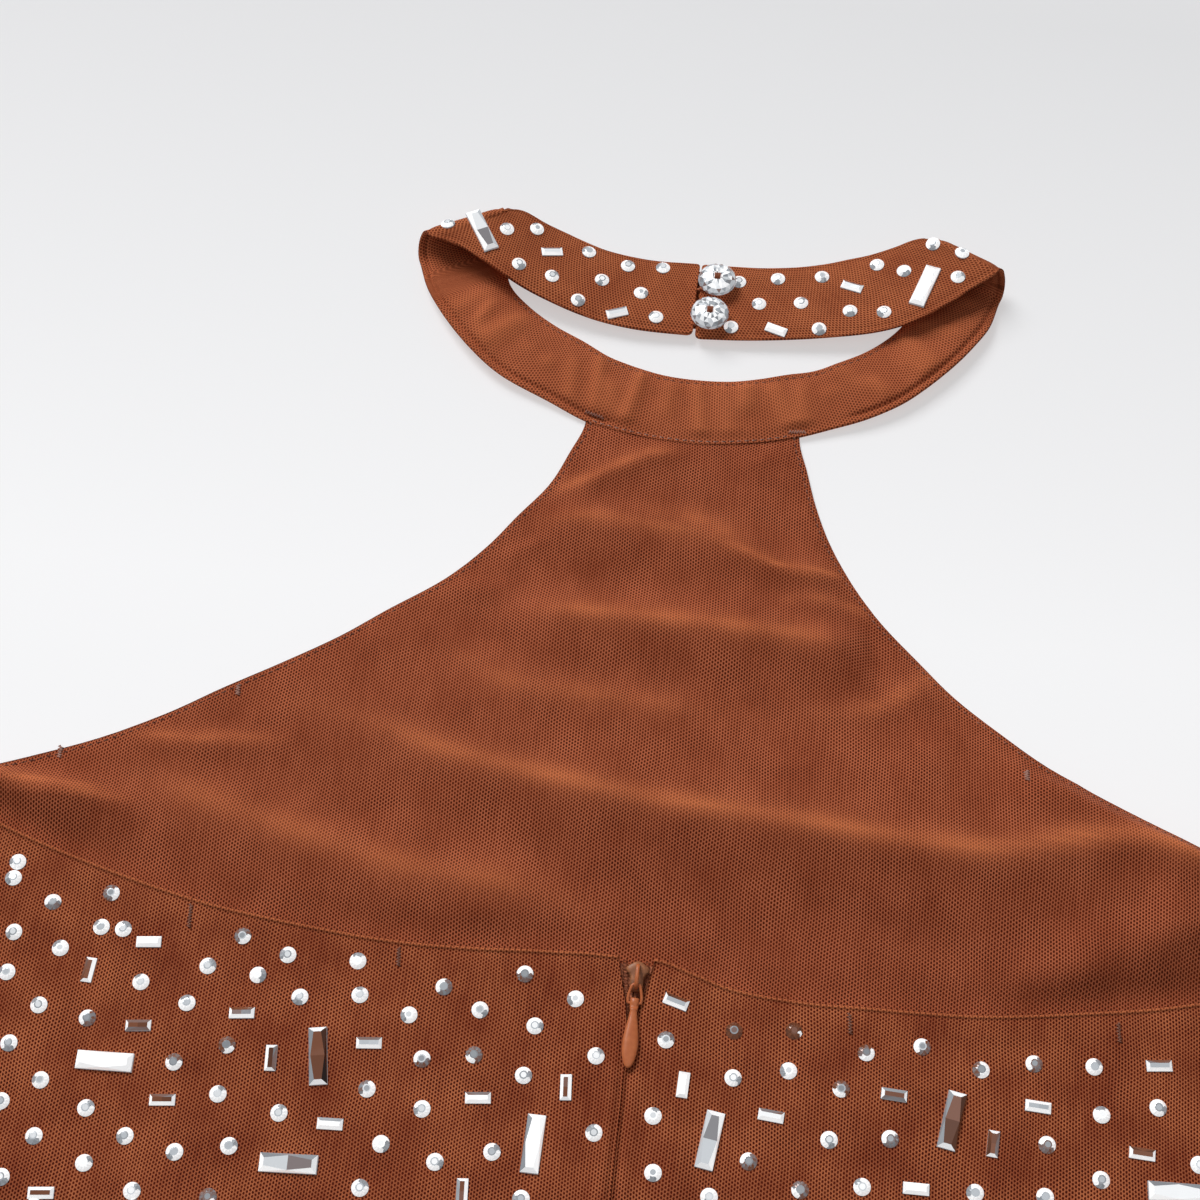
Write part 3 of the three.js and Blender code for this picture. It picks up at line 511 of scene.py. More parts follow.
def eyes_of_net(tree, places, turn=0.0, shift=(0.0, 0.0)):
    """How far each place is from the middle of the nearest eye of the net, in mm across the eye."""
    turned = put(tree, "VectorRotate", {"Vector": places, "Angle": math.radians(turn)},
                 rotation_type="Z_AXIS")
    pitch = (1 / (2 * WALE), 1 / COURSE, 0)
    repeats = put(tree, "VectorMath", {0: turned, 1: pitch}, operation="MULTIPLY")
    away = []
    for step in (0.0, 0.5):
        offset = (shift[0] + step, shift[1] + step, 0)
        moved = put(tree, "VectorMath", {0: repeats, 1: offset}, operation="ADD")
        within = put(tree, "VectorMath", {0: moved}, operation="FRACTION")
        centred = put(tree, "VectorMath", {0: within, 1: (-0.5, -0.5, 0)}, operation="ADD")
        size = (2 * WALE, COURSE * EYE_TALL, 0)
        real = put(tree, "VectorMath", {0: centred, 1: size}, operation="MULTIPLY")
        away.append(put(tree, "VectorMath", {0: real}, "Value", operation="LENGTH"))
    return put(tree, "Math", {0: away[0], 1: away[1]}, operation="MINIMUM")


def power_mesh(face, rib_dark, rib_light, eye_shade_light, eye_shade_dark, drawn_highlight):
    """Nylon and elastane net, two plies: matt filament ribs round small eyes painted dark with the shade of
    the ply under them, a little lighter on the inside, with faint streaks along its wales and a drift of
    light and dark where the eyes of the two plies line up, the eyes there painted in deeper shade. Along the
    tops of creases, where the net is stretched, a painted highlight closes the eyes, and it looks plain and
    lighter."""
    material, tree, shader = start_material(f"power_mesh_nylon_knitted_{face}")
    flat = put(tree, "UVMap", uv_map="cloth_mm")
    drift = put(tree, "TexNoise", {"Vector": flat, "Scale": DRIFT, "Detail": 1.0}, "Color")
    pull = put(tree, "VectorMath", {0: drift, 1: (2.4, 2.4, 0)}, operation="MULTIPLY")
    places = put(tree, "VectorMath", {0: flat, 1: pull}, operation="ADD")
    top = eyes_of_net(tree, places)
    under = eyes_of_net(tree, flat, turn=2.2, shift=(0.31, 0.17))
    eye = put(tree, "MapRange", {"Value": top, "From Min": EYE * 0.4, "From Max": EYE * 0.95,
                                 "To Min": 1.0, "To Max": 0.0}, interpolation_type="SMOOTHSTEP")
    deep = put(tree, "MapRange", {"Value": under, "From Min": EYE * 0.4, "From Max": EYE * 1.3,
                                  "To Min": 1.0, "To Max": 0.2}, interpolation_type="SMOOTHSTEP")
    cloudy = put(tree, "TexNoise", {"Vector": flat, "Scale": CLOUD, "Detail": 3.0})
    along_wale = put(tree, "VectorMath", {0: flat, 1: WALE_STREAK}, operation="MULTIPLY")
    streaks = put(tree, "TexNoise", {"Vector": along_wale, "Scale": 1.0, "Detail": 1.0})
    uneven = put(tree, "Math", {0: streaks, 1: 0.36, 2: cloudy}, operation="MULTIPLY_ADD")
    lightness = put(tree, "MapRange", {"Value": uneven, "From Min": 0.44, "From Max": 0.92})
    rib = put(tree, "Mix", {"Factor": lightness, "A": linear(rib_dark), "B": linear(rib_light)}, "Result",
              data_type="RGBA")
    # The eyes' colour is painted shade: the ply under them in shadow, darker still where its eyes line up.
    below = put(tree, "Mix", {"Factor": deep, "A": linear(eye_shade_light), "B": linear(eye_shade_dark)}, "Result",
                data_type="RGBA")
    # The painted highlight: it closes the eyes and mixes the ribs towards a lighter colour.
    taut = put(tree, "Attribute", out="Fac", attribute_name="taut")
    closing = put(tree, "Math", {0: taut, 1: -0.45, 2: 1.0}, operation="MULTIPLY_ADD")
    eye = put(tree, "Math", {0: eye, 1: closing}, operation="MULTIPLY")
    rib = put(tree, "Mix", {"Factor": taut, "A": rib, "B": linear(drawn_highlight)}, "Result", data_type="RGBA")
    net = put(tree, "Mix", {"Factor": eye, "A": rib, "B": below}, "Result", data_type="RGBA")
    fine = put(tree, "TexNoise", {"Vector": flat, "Scale": FILAMENT, "Detail": 2.0})
    relief = put(tree, "Math", {0: eye, 1: -0.8, 2: fine}, operation="MULTIPLY_ADD")
    bump = put(tree, "Bump", {"Height": relief, "Strength": 0.45, "Distance": 0.15 * MM})
    plug(tree, shader, {
        "Base Color": net, "Normal": bump, "Roughness": 0.85, "Specular IOR Level": 0.08,
        "Sheen Weight": 0.06, "Sheen Roughness": 0.5, "Sheen Tint": linear("E88A5C"),
    })
    return material


# Scales of the other materials' patterns, for each metre.
HERRINGBONE = 420.0  # ribs about 1 mm apart
TWIST = 1800.0  # bands about 0.55 mm long, where the thread's plies cross
ENAMEL_POOL = 700.0  # where the enamel lies thicker, about 1.4 mm across
PAPER_DRIFT = 3.0  # a third of a metre across: the paper is a little uneven, and looks plain up close


def tape_and_cord():
    """Woven polyester zip tape and covered loop cord: a fine herringbone, a little shinier than the net."""
    material, tree, shader = start_material("woven_polyester_tape")
    place = put(tree, "TexCoord", out="Object")
    weave = put(tree, "TexWave", {"Vector": place, "Scale": HERRINGBONE, "Distortion": 1.5, "Detail": 2.0},
                "Fac", bands_direction="DIAGONAL")
    colour = put(tree, "Mix", {"Factor": weave, "A": linear("9C5638"), "B": linear("C6754C")}, "Result",
                 data_type="RGBA")
    bump = put(tree, "Bump", {"Height": weave, "Strength": 0.4, "Distance": 0.1 * MM})
    plug(tree, shader, {"Base Color": colour, "Normal": bump, "Roughness": 0.7})
    return material


def sewing_thread(name, dark, light):
    """Spun polyester thread: two twisted plies, whose colour wanders in short slanting bands between a darker
    and a lighter tone, a painted highlight where the plies catch the light.
    """
    material, tree, shader, _, _ = grained_material(name, TWIST, 1.0, dark, light)
    plug(tree, shader, {"Roughness": 0.6, "Specular IOR Level": 0.2})
    return material


def painted_zinc(name, dark, light, rough):
    """Die-cast zinc, sprayed to match the cloth: even satin enamel that pools a little in the corners."""
    material, tree, shader, _, cast = grained_material(name, ENAMEL_POOL, 3.0, dark, light)
    bump = put(tree, "Bump", {"Height": cast, "Strength": 0.12, "Distance": 0.05 * MM})
    plug(tree, shader, {
        "Normal": bump, "Roughness": rough, "Specular IOR Level": 0.35, "Coat Weight": 0.15,
        "Coat Roughness": 0.3,
    })
    return material


def foiled_crystal():
    """Cut acrylic over silver foil. Each facet's colour is a painted reflection of another part of the room,
    so that most are white, some grey and a few take the cloth's brown, and the same colour glows as painted
    reflected light."""
    material, tree, shader = start_material("foiled_acrylic_cut")
    facet = put(tree, "Attribute", out="Fac", attribute_name="facet")
    colour = put(tree, "ValToRGB", {"Fac": facet}, "Color")
    stops = colour.node.color_ramp
    stops.elements[0].color = linear("1C0D08")
    stops.elements[1].position = 0.16
    stops.elements[1].color = linear("74462F")
    for position, shade in ((0.3, "7E8287"), (0.5, "ADB2B7"), (0.75, "E2E4E6"), (1.0, "FFFFFF")):
        stops.elements.new(position).color = linear(shade)
    # Painted reflections: the facets glow with their own colour, though they are no lamp.
    plug(tree, shader, {
        "Base Color": colour, "Emission Color": colour, "Emission Strength": 0.52, "Metallic": 0.2,
        "Roughness": 0.18, "Coat Weight": 0.8, "Coat Roughness": 0.03,
    })
    return material


def studio_paper():
    """Matt white paper that glows with painted light to fill its shadows, a little less towards the far end:
    plain and pale, with no deep shadow anywhere.
    """
    material, tree, shader, place, _ = grained_material(
        "studio_paper_matt", PAPER_DRIFT, 2.0, "B3B3B5", "B7B7B9")
    along = put(tree, "SeparateXYZ", {0: place}, "Y")
    # Painted light: the paper glows, fading towards the far end, so that the shadows on it stay pale.
    painted_fill_glow = put(tree, "MapRange", {"Value": along, "From Min": 0.56, "From Max": 0.8,
                                  "To Min": 0.575, "To Max": 0.39})
    plug(tree, shader, {
        "Emission Color": linear("FFFFFF"), "Emission Strength": painted_fill_glow, "Roughness": 0.9,
        "Specular IOR Level": 0.1,
    })
    return material


net_outside = power_mesh("outside", "9C5033", "CE784E", "6C2009", "480F04", "DA7F50")
net_inside = power_mesh("inside", "AD5B3B", "CE734E", "722910", "4A1607", "DC7E50")
tape = tape_and_cord()
pale_thread = sewing_thread("polyester_thread_pale", "A07060", "CFA292")
rust_thread = sewing_thread("polyester_thread_rust", "6E3824", "A8603F")
grey_thread = sewing_thread("polyester_thread_taupe", "74463A", "B8846F")
enamel = painted_zinc("painted_zinc_satin", "BA5E33", "D8804E", 0.32)
# A darker copy of the enamel for the slider's body: painted shade.
shaded_enamel = painted_zinc("painted_zinc_shaded", "4A2414", "CC8558", 0.42)
crystal = foiled_crystal()

# ---- floor and light ----


def add_floor():
    size, z = 9000.0, -0.15
    points = [(-size, -size, z), (size, -size, z), (size, size, z), (-size, size, z)]
    floor = add_piece("floor", points, [[0, 1, 2, 3]], studio_paper(), smooth=False)


def add_light(name, at, aim, size, watts):
    data = bpy.data.lights.new(name, "AREA")
    data.shape = "RECTANGLE"
    data.size, data.size_y = size
    data.energy = watts
    light = bpy.data.objects.new(name, data)
    light.location = Vector(metres(at))
    light.rotation_euler = (Vector(metres(aim)) - light.location).to_track_quat("-Z", "Y").to_euler()
    bpy.context.scene.collection.objects.link(light)


def add_room_light():
    """Pale walls all round, a little brighter beyond the collar."""
    world = bpy.data.worlds.new("studio")
    world.use_nodes = True
    tree = world.node_tree
    around = put(tree, "TexCoord", out="Generated")
    ahead = put(tree, "SeparateXYZ", {0: around}, "Y")
    level = put(tree, "MapRange", {"Value": ahead, "From Min": -1.0, "From Max": 1.0,
                                   "To Min": 0.14, "To Max": 0.22})
    plug(tree, tree.nodes["Background"], {"Color": linear("F4F6FA"), "Strength": level})
    bpy.context.scene.world = world


add_floor()
add_light("window_softbox", (-1600, 2250, 2700), (0, 60, 0), (1.9, 1.9), 108)
add_light("overhead_softbox", (120, -250, 1300), (0, 0, 0), (1.2, 1.0), 1.6)
add_room_light()

# ---- front panel ----
FRONT_TOP = neck_seam(NECK_HALF) - NECK_SLOPE * NECK_HALF
SEAM_TUCK = 0.5  # how far its top edge goes into the collar's seam
COVERED_Y = -20  # from here down the back panels cover it, and its grid can be coarse
FRONT_COLUMNS = 161


def front_panel():
    """The front and its bib, seen from the inside, which the back covers from the underarms down."""
    heights = np.concatenate([graded(FRONT_TOP, COVERED_Y, 1.6, 2.6), graded(COVERED_Y, HEM_Y, 3, 22)[1:]])
    u = np.linspace(-1, 1, FRONT_COLUMNS)
    height, u = np.meshgrid(heights, u, indexing="ij")
    fade = np.maximum(0, 1 - (FRONT_TOP - height) / SEAM_FADE) ** 2
    reached = np.minimum(height, SIDES[-1, 0])
    sides = np.where(u < 0, half_width(-1, reached), half_width(1, reached))
    x = u * sides
    y = height + fade * (neck_seam(u * NECK_HALF) - FRONT_TOP) + SEAM_TUCK
    edge = smooth_step(sides - np.abs(x), 0, 6)
    neckline = np.where(u < 0, back_top(-1, np.abs(x)), back_top(1, np.abs(x)))
    shown = smooth_step(y - neckline, 0, 11)
    z, taut = creased(FRONT_CREASES, x, y)
    z *= (0.3 + 0.7 * smooth_step(sides - np.abs(x), 0, 15)) * shown
    z += shown * (0.5 + slack(x, y, 0.5, 3)) * edge
    z = np.maximum(z, 0)
    hem = 0.2 * (1 - smooth_step(sides - np.abs(x), 3.4, 4.2)) * smooth_step(y, 34, 44)
    upper = np.dstack([x, y, z + CLOTH + hem])
    lower = np.dstack([x, y, z])
    return cloth_wall("front_cloth", upper, lower, np.dstack([x, y]), True, taut), upper


front_cloth, front_upper = front_panel()
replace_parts(front_cloth, "front_panel")


# ---- back panels ----
TURNED_EDGE = 7.0  # depth of the back's turned top edge
ZIP_FOLD = 2.6  # width of the roll of cloth folded in beside the zip
FINE_Y = -90  # its grid is coarser from here down
BACK_COLUMNS = 93


def back_panel(sign):
    """One side of the back: raised over the zip's tape, turned in at its top and rolled in at the zip."""
    heights = np.concatenate([graded(0, FINE_Y, 1.3, 2.4), graded(FINE_Y, HEM_Y, 2.6, 7)[1:]])
    u = np.linspace(0, 1, BACK_COLUMNS) ** 1.12  # columns lie closer beside the zip
    height, u = np.meshgrid(heights, u, indexing="ij")
    fade = np.maximum(0, 1 + height / NECKLINE_FADE) ** 2
    y = height + fade * back_top(sign, u * UNDERARM_HALF)
    inner = parted(sign, y)
    x = sign * (inner + u * (half_width(sign, y) - inner))
    across = smooth_step(np.abs(x), *TAPE_EDGE)
    along = smooth_step(-y, ZIP_LENGTH + 8, ZIP_LENGTH + 40)
    z = 2 * CLOTH + SEAM_GAP + TAPE_RISE * (1 - across) * (1 - along)
    lift, taut = creased(BACK_CREASES, x, y)
    z += lift
    from_side, from_zip = half_width(sign, y) - np.abs(x), np.abs(x) - inner
    inside = smooth_step(from_side, 0, 9) * smooth_step(from_zip, 0, 12)
    z += (0.3 + slack(x, y, 0.5, 11 if sign < 0 else 17)) * inside
    z += 0.2 * (1 - smooth_step(-height, TURNED_EDGE - 0.8, TURNED_EDGE + 0.8))
    fold = 0.35 * smooth_step(-y, -4, 12) + 0.65 * smooth_step(-y, 26, 34)
    z += fold * np.exp(-(((from_zip - ZIP_FOLD * 0.8) / ZIP_FOLD) ** 2))
    z -= 0.8 * np.exp(-((from_zip / 1.2) ** 2)) * smooth_step(-y, 14, 26)
    upper = np.dstack([x, y, z])
    lower = np.dstack([x, y, z - CLOTH])
    if sign < 0:
        upper, lower, taut = upper[:, ::-1], lower[:, ::-1], taut[:, ::-1]
    name = "back_left_cloth" if sign < 0 else "back_right_cloth"
    return cloth_wall(name, upper, lower, upper[:, :, :2], False, taut), upper


back_left_cloth, back_left_upper = back_panel(-1)
back_right_cloth, back_right_upper = back_panel(1)
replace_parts(back_left_cloth, "back_left_panel")
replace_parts(back_right_cloth, "back_right_panel")


# ---- collar ----
def folded_over(start, end):
    """Rows of the collar's edges where the band folds back over itself, rolled outward."""
    start, end = np.array(start, float), np.array(end, float)
    outward = unit(np.array([start[4] - start[1], start[0] - start[3]]))
    rows = []
    for angle in np.linspace(0, np.pi, FOLD_STEPS):
        row = start + (end - start) * (1 - math.cos(angle)) / 2
        for edge, roll in ((0, FOLD_ROLL[0]), (3, FOLD_ROLL[1])):
            row[edge : edge + 2] += outward * roll * math.sin(angle)
        rows.append(row)
    return rows


def collar_rows(sign):
    """The low and the high edge of half the collar, from its middle to its end."""
    rows = [*COLLAR_MIDDLE, *COLLAR_FRONT[sign], *folded_over(*COLLAR_FOLD[sign]), *COLLAR_BACK[sign]]
    low, high = [], []
    for low_x, low_y, low_z, high_x, high_y, high_z in rows:
        low.append((sign * low_x, neck_seam(sign * low_x) if low_y is None else low_y, low_z))
        high.append((sign * high_x, high_y, high_z))
    return low, high


def rounded_path(points, at):
    """A smooth path through points that keeps close to them, at places from 0 to 1."""
    points = np.array(points, float)
    first, last = 2 * points[0] - points[1], 2 * points[-1] - points[-2]
    points = np.vstack([first, points, last])
    place = np.clip(at, 0, 1) * (len(points) - 3)
    i = np.minimum(place.astype(int), len(points) - 4)
    p = (place - i)[:, None]
    p0, p1, p2, p3 = (points[i + k] for k in range(4))
    step = [np.sqrt(np.linalg.norm(b - a, axis=1))[:, None] for a, b in ((p0, p1), (p1, p2), (p2, p3))]
    start = ((p1 - p0) / step[0] - (p2 - p0) / (step[0] + step[1]) + (p2 - p1) / step[1]) * step[1]
    end = ((p2 - p1) / step[1] - (p3 - p1) / (step[1] + step[2]) + (p3 - p2) / step[2]) * step[1]
    cubic = 2 * p1 - 2 * p2 + start + end
    square = -3 * p1 + 3 * p2 - 2 * start - end
    return cubic * p**3 + square * p**2 + start * p + p1


left_low, left_high = collar_rows(-1)
right_low, right_high = collar_rows(1)
COLLAR_LOW = left_low[:0:-1] + right_low
COLLAR_HIGH = left_high[:0:-1] + right_high
COLLAR_STATIONS = 521
END_STATIONS = 0.9 * np.array([0.0004, 0.0009, 0.0016, 0.0024])  # more of them, for the round corners
COLLAR_ACROSS = 41
STITCH_INSET = 1.7
END_ROUND = 1.8  # the corners of its ends
NET_TURN = 32  # degrees that the net runs askew of the band behind the folds
FACING_INSET = 2.4  # the inside ply stops this far from the low edge, which the outside ply rolls over


def collar_grid():
    """The band's middle surface and its normals, its length, and how far across it each place is."""
    even = np.linspace(0, 1, COLLAR_STATIONS - 2 * len(END_STATIONS))
    around = np.unique(np.concatenate([even, END_STATIONS, 1 - END_STATIONS]))
    low, high = rounded_path(COLLAR_LOW, around), rounded_path(COLLAR_HIGH, around)
    travelled = distance_along((low + high) / 2)
    from_end = np.minimum(np.minimum(travelled, travelled[-1] - travelled), END_ROUND)
    inset = END_ROUND - np.sqrt(END_ROUND**2 - (END_ROUND - from_end) ** 2)
    toward = unit(high - low)
    low, high = low + toward * inset[:, None], high - toward * 0.6 * inset[:, None]
    k = (1 - np.cos(np.linspace(0, np.pi, COLLAR_ACROSS))) / 2 * 0.7 + np.linspace(0, 1, COLLAR_ACROSS) * 0.3
    middle = low[:, None] + (high - low)[:, None] * k[None, :, None]
    ahead = np.gradient(middle, axis=0)
    across = np.repeat((high - low)[:, None], COLLAR_ACROSS, axis=1)
    width = np.linalg.norm(high - low, axis=1)[:, None] * k[None, :]
    return middle, unit(np.cross(ahead, across)), distance_along((low + high) / 2), width, k


def collar_ripples(length, k):
    """Soft gathers across the front half, where the band is eased round the neck."""
    draw = np.random.default_rng(5)
    total = np.zeros_like(k)
    centre = length[len(length) // 2, 0]
    for place in np.arange(-96, 98, 8.5):
        where = centre + place + draw.uniform(-3, 3)
        lean, wide = draw.uniform(-9, 3), draw.uniform(2.2, 4.2)
        high = draw.uniform(0.5, 1.5)
        start, stop = draw.uniform(-0.3, 0.35), draw.uniform(0.65, 1.3)
        body = smooth_step(k, start, start + 0.3) * (1 - smooth_step(k, stop - 0.3, stop))
        total += high * body * np.exp(-(((length - where - lean * (k - 0.5)) / wide) ** 2))
    return total * smooth_step(k, 0.06, 0.22) * (1 - smooth_step(k, 0.88, 1.0))


def collar():
    """The doubled band: soft between its seams, sunk at its stitching, and gathered round the neck."""
    middle, normal, length, width, k = collar_grid()
    along = np.repeat(length[:, None], COLLAR_ACROSS, axis=1)
    share = np.repeat(k[None, :], COLLAR_STATIONS, axis=0)
    from_middle = np.abs(along - length[len(length) // 2])
    from_low, from_high = width, width[:, -1:] - width
    edge = np.minimum(from_low, from_high)
    soft = 0.4 * smooth_step(edge, 0.4, 5) - 0.25
    stitched = 0.14 * np.exp(-(((edge - STITCH_INSET) / 0.5) ** 2))
    facing = 0.3 * smooth_step(from_low, FACING_INSET, FACING_INSET + 0.5)
    facing -= 0.9 * np.exp(-(((from_low - FACING_INSET) / 0.5) ** 2))
    facing *= smooth_step(from_middle, NECK_HALF - 1, NECK_HALF + 6)
    rise = soft + facing - 0.12 * np.exp(-(((from_high - STITCH_INSET) / 0.5) ** 2))
    gathers = collar_ripples(along, share)
    rise += slack(along, share * 28, 0.25, 23) + gathers
    fall = soft - stitched + slack(along, share * 28, 0.22, 29)
    upper = middle + normal * (COLLAR_WALL / 2 - 0.2 + rise)[:, :, None]
    lower = middle - normal * (COLLAR_WALL / 2 - 0.15 + fall)[:, :, None]
    # A painted highlight: the whole band a little lighter, and more on the tops of its gathers.
    taut = 0.3 + np.clip(gathers, 0, 1) * 0.36
    fold_at = from_middle[middle[:, :, 2] > 6].min()
    bias = math.radians(NET_TURN) * smooth_step(from_middle, fold_at - 5, fold_at + 7)
    net_x = along * np.cos(bias) - width * np.sin(bias)
    net_y = along * np.sin(bias) + width * np.cos(bias)
    piece = cloth_wall("collar_cloth", upper, lower, np.dstack([net_x, net_y]), True, taut)
    return piece, upper, normal


collar_cloth, collar_upper, collar_normal = collar()
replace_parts(collar_cloth, "collar_band")


TAB_ACROSS = (-5.6, 0.2)
TAB_ALONG = (210.2, 232.2)
TAB_FACES = (0.35, 0.95)  # the heights of its lower and upper face


def loop_tab():
    """The strip under the collar's ends that the button loops are sewn to."""
    x, y = np.meshgrid(np.linspace(*TAB_ACROSS, 7), np.linspace(*TAB_ALONG, 13))
    lower, upper = (np.dstack([x, y, np.full_like(x, height)]) for height in TAB_FACES)
    return cloth_wall("loop_tab", upper[::-1], lower[::-1], upper[::-1, :, :2], False, np.zeros_like(x))


tab = loop_tab()

# ---- finding the cloth ----


def surface_tree(*pieces):
    """The pieces' faces, to ask where a line meets them."""
    points, faces = [], []
    for piece in pieces:
        base = len(points)
        points.extend(v.co for v in piece.data.vertices)
        faces.extend([base + i for i in p.vertices] for p in piece.data.polygons)
    return BVHTree.FromPolygons(points, faces)


CLOTHS = [front_cloth, back_left_cloth, back_right_cloth, collar_cloth]
cloth_faces = surface_tree(*CLOTHS)


def seen_at(across, down):
    """The point and normal of the cloth that the camera sees at a pixel of its frame."""
    start = Vector(metres(CAMERA_AT))
    point, normal, _, _ = cloth_faces.ray_cast(start, Vector(sight_line(across, down)).normalized())
    return point, normal


def above(x, y):
    """The point and normal of the highest cloth at a place of the dress."""
    point, normal, _, _ = cloth_faces.ray_cast(Vector(metres((x, y, 60))), Vector((0, 0, -1)))
    return point, normal


# ---- stones ----
ROUND = dict(across=4.6, height=1.3, sides=24)
SMALL_BAGUETTE = dict(length=6.9, width=3.1, height=1.25, bevel=0.95, bow=0)
BIG_BAGUETTE = dict(length=15.4, width=5.0, height=1.8, bevel=1.5, bow=0.9)

# Places in the camera's frame of 1200 by 1200 pixels, then for a baguette the turn from across the frame, and
# last how light the stone's painted reflections are, where that isn't 1.
BACK_ROUNDS = [
    (18, 862), (13.5, 878), (53, 902, 0.7), (111.5, 893, 0.6), (14, 932), (101.5, 927), (123.5, 929),
    (60.5, 948), (7, 972), (141, 982), (39, 1005), (87.5, 1018, 0.6), (9, 1043), (174, 1062, 0.6),
    (40.6, 1080), (86, 1108), (34, 1136), (125, 1136), (84, 1163), (174.5, 1152), (132, 1191), (229, 1146),
    (208, 1197, 0.6), (218, 1094), (227, 1045, 0.5), (187, 1003), (208, 966), (243, 936, 0.6), (258, 975),
    (288, 955), (300, 997), (358, 961), (360, 995), (367, 1089, 0.7), (279, 1113), (381, 1144), (360, 1188),
    (0, 1101), (0, 1177), (525, 974, 0.6), (444, 987, 0.7), (575.5, 999), (480, 1010), (409, 1015),
    (535, 1026), (474, 1055, 0.6), (422, 1059, 0.6), (596, 1056), (523.5, 1075.5), (422, 1109), (492, 1152),
    (594, 1133), (435, 1162), (521, 1199), (666, 1040, 0.7), (734, 1031, 0.35), (794, 1031, 0.3),
    (733, 1078), (788.5, 1071), (653, 1116), (653, 1173), (748.5, 1161.5, 0.6), (709, 1197),
    (800, 1190, 0.6), (866, 1053, 0.5), (922, 1047, 0.6), (981, 1070, 0.6), (1034, 1064, 0.6), (1094, 1067),
    (841, 1089, 0.5), (829, 1140), (890, 1139, 0.7), (1101.5, 1115), (1158, 1108), (1047, 1145, 0.6),
    (862, 1187), (975, 1193), (1101, 1180), (1045, 1197), (1199, 1165),
]
BACK_BAGUETTES = [
    (149, 942, 0), (89, 970, 80), (138.5, 1025.5, 0, 0.12), (242, 1013, 0, 0.5), (162.5, 1100, 0),
    (271, 1058, 88, 0.1), (369, 1043, 0, 0.6), (330, 1124, -3), (41, 1193, 0), (478, 1098, 0),
    (566, 1087.5, 88), (676, 1002, -20, 0.5), (683, 1085, 80), (771, 1116, -10), (462, 1192, 88),
    (894, 1095, -8, 0.2), (993, 1144, 78, 0.15), (1038, 1107, -8, 0.5), (1159, 1066, 0), (1142, 1154, -8),
    (916, 1189, -5),
]
COLLAR_ROUNDS = [
    (448, 224), (486, 210), (507, 229), (537, 229), (519, 264), (552, 276), (589, 252), (602, 280),
    (578, 300), (628, 266), (663, 268), (641, 293), (656, 317), (739, 282), (731, 327), (778, 279),
    (759, 304), (801, 303), (822, 277), (819, 329), (850, 311), (877, 265), (884, 312), (904, 271),
    (933, 244), (958, 277), (962, 253),
]
COLLAR_BAGUETTES = [
    (552, 252, 7, 0.9), (617, 313, 13, 0.9), (776, 330, -22, 0.9), (852, 287, -22, 0.9),
]
COLLAR_BIG = [(482, 231, -62, 0.42), (925, 286.5, 62, 0.6)]

# The long baguettes of the back, by their place on the dress, as its solids have them, with their turn and
# how light their painted reflections are.
BIG_STONES = [
    (-138.5, -41, 2, 1), (-82, -33.5, 100, 0.08), (-85, -62, 3, 0.3), (-22, -50, 89, 1), (24, -44, 82, 0.25),
    (87, -32, 80, 0.1), (146, -44, 2, 0.8),
]
STONE_ROWS = dict(first=-112, pitch=56, across=58, side=26, shift=11)
SCATTER = dict(first=-18.0, pitch=13.5, wider=9, shift=3, clear=9.5, side=7)  # of the small stones
SUNK = 0.2  # how deep a stone sits in the cloth


def scatter(seed):
    """An uneven share from 0 to 1, which stays the same for a seed."""
    wave = math.sin(seed * 12.9898) * 43758.5453
    return wave - math.floor(wave)


def big_stones():
    """Every long baguette of the back, down to the hem."""
    rows, stones, seed, y, row = STONE_ROWS, list(BIG_STONES), 1, STONE_ROWS["first"], 0
    while y > HEM_Y + rows["side"]:
        x = rows["across"] if row % 2 else rows["across"] / 2
        limit = min(float(half_width(-1, np.array(y))), float(half_width(1, np.array(y)))) - rows["side"]
        while x < limit:
            for sign in (-1, 1):
                across = sign * x + rows["shift"] * (scatter(seed) - 0.5)
                up = y + 2 * rows["shift"] * (scatter(seed + 0.37) - 0.5)
                turn = (0 if scatter(seed + 0.71) < 0.5 else 90) + 16 * (scatter(seed + 0.13) - 0.5)
                # The last value is how light the stone's painted reflections are.
                stones.append((across, up, turn, 0.1 + 0.9 * scatter(seed + 0.59)))
                seed += 1
            x += rows["across"]
        y -= rows["pitch"]
        row += 1
    return stones


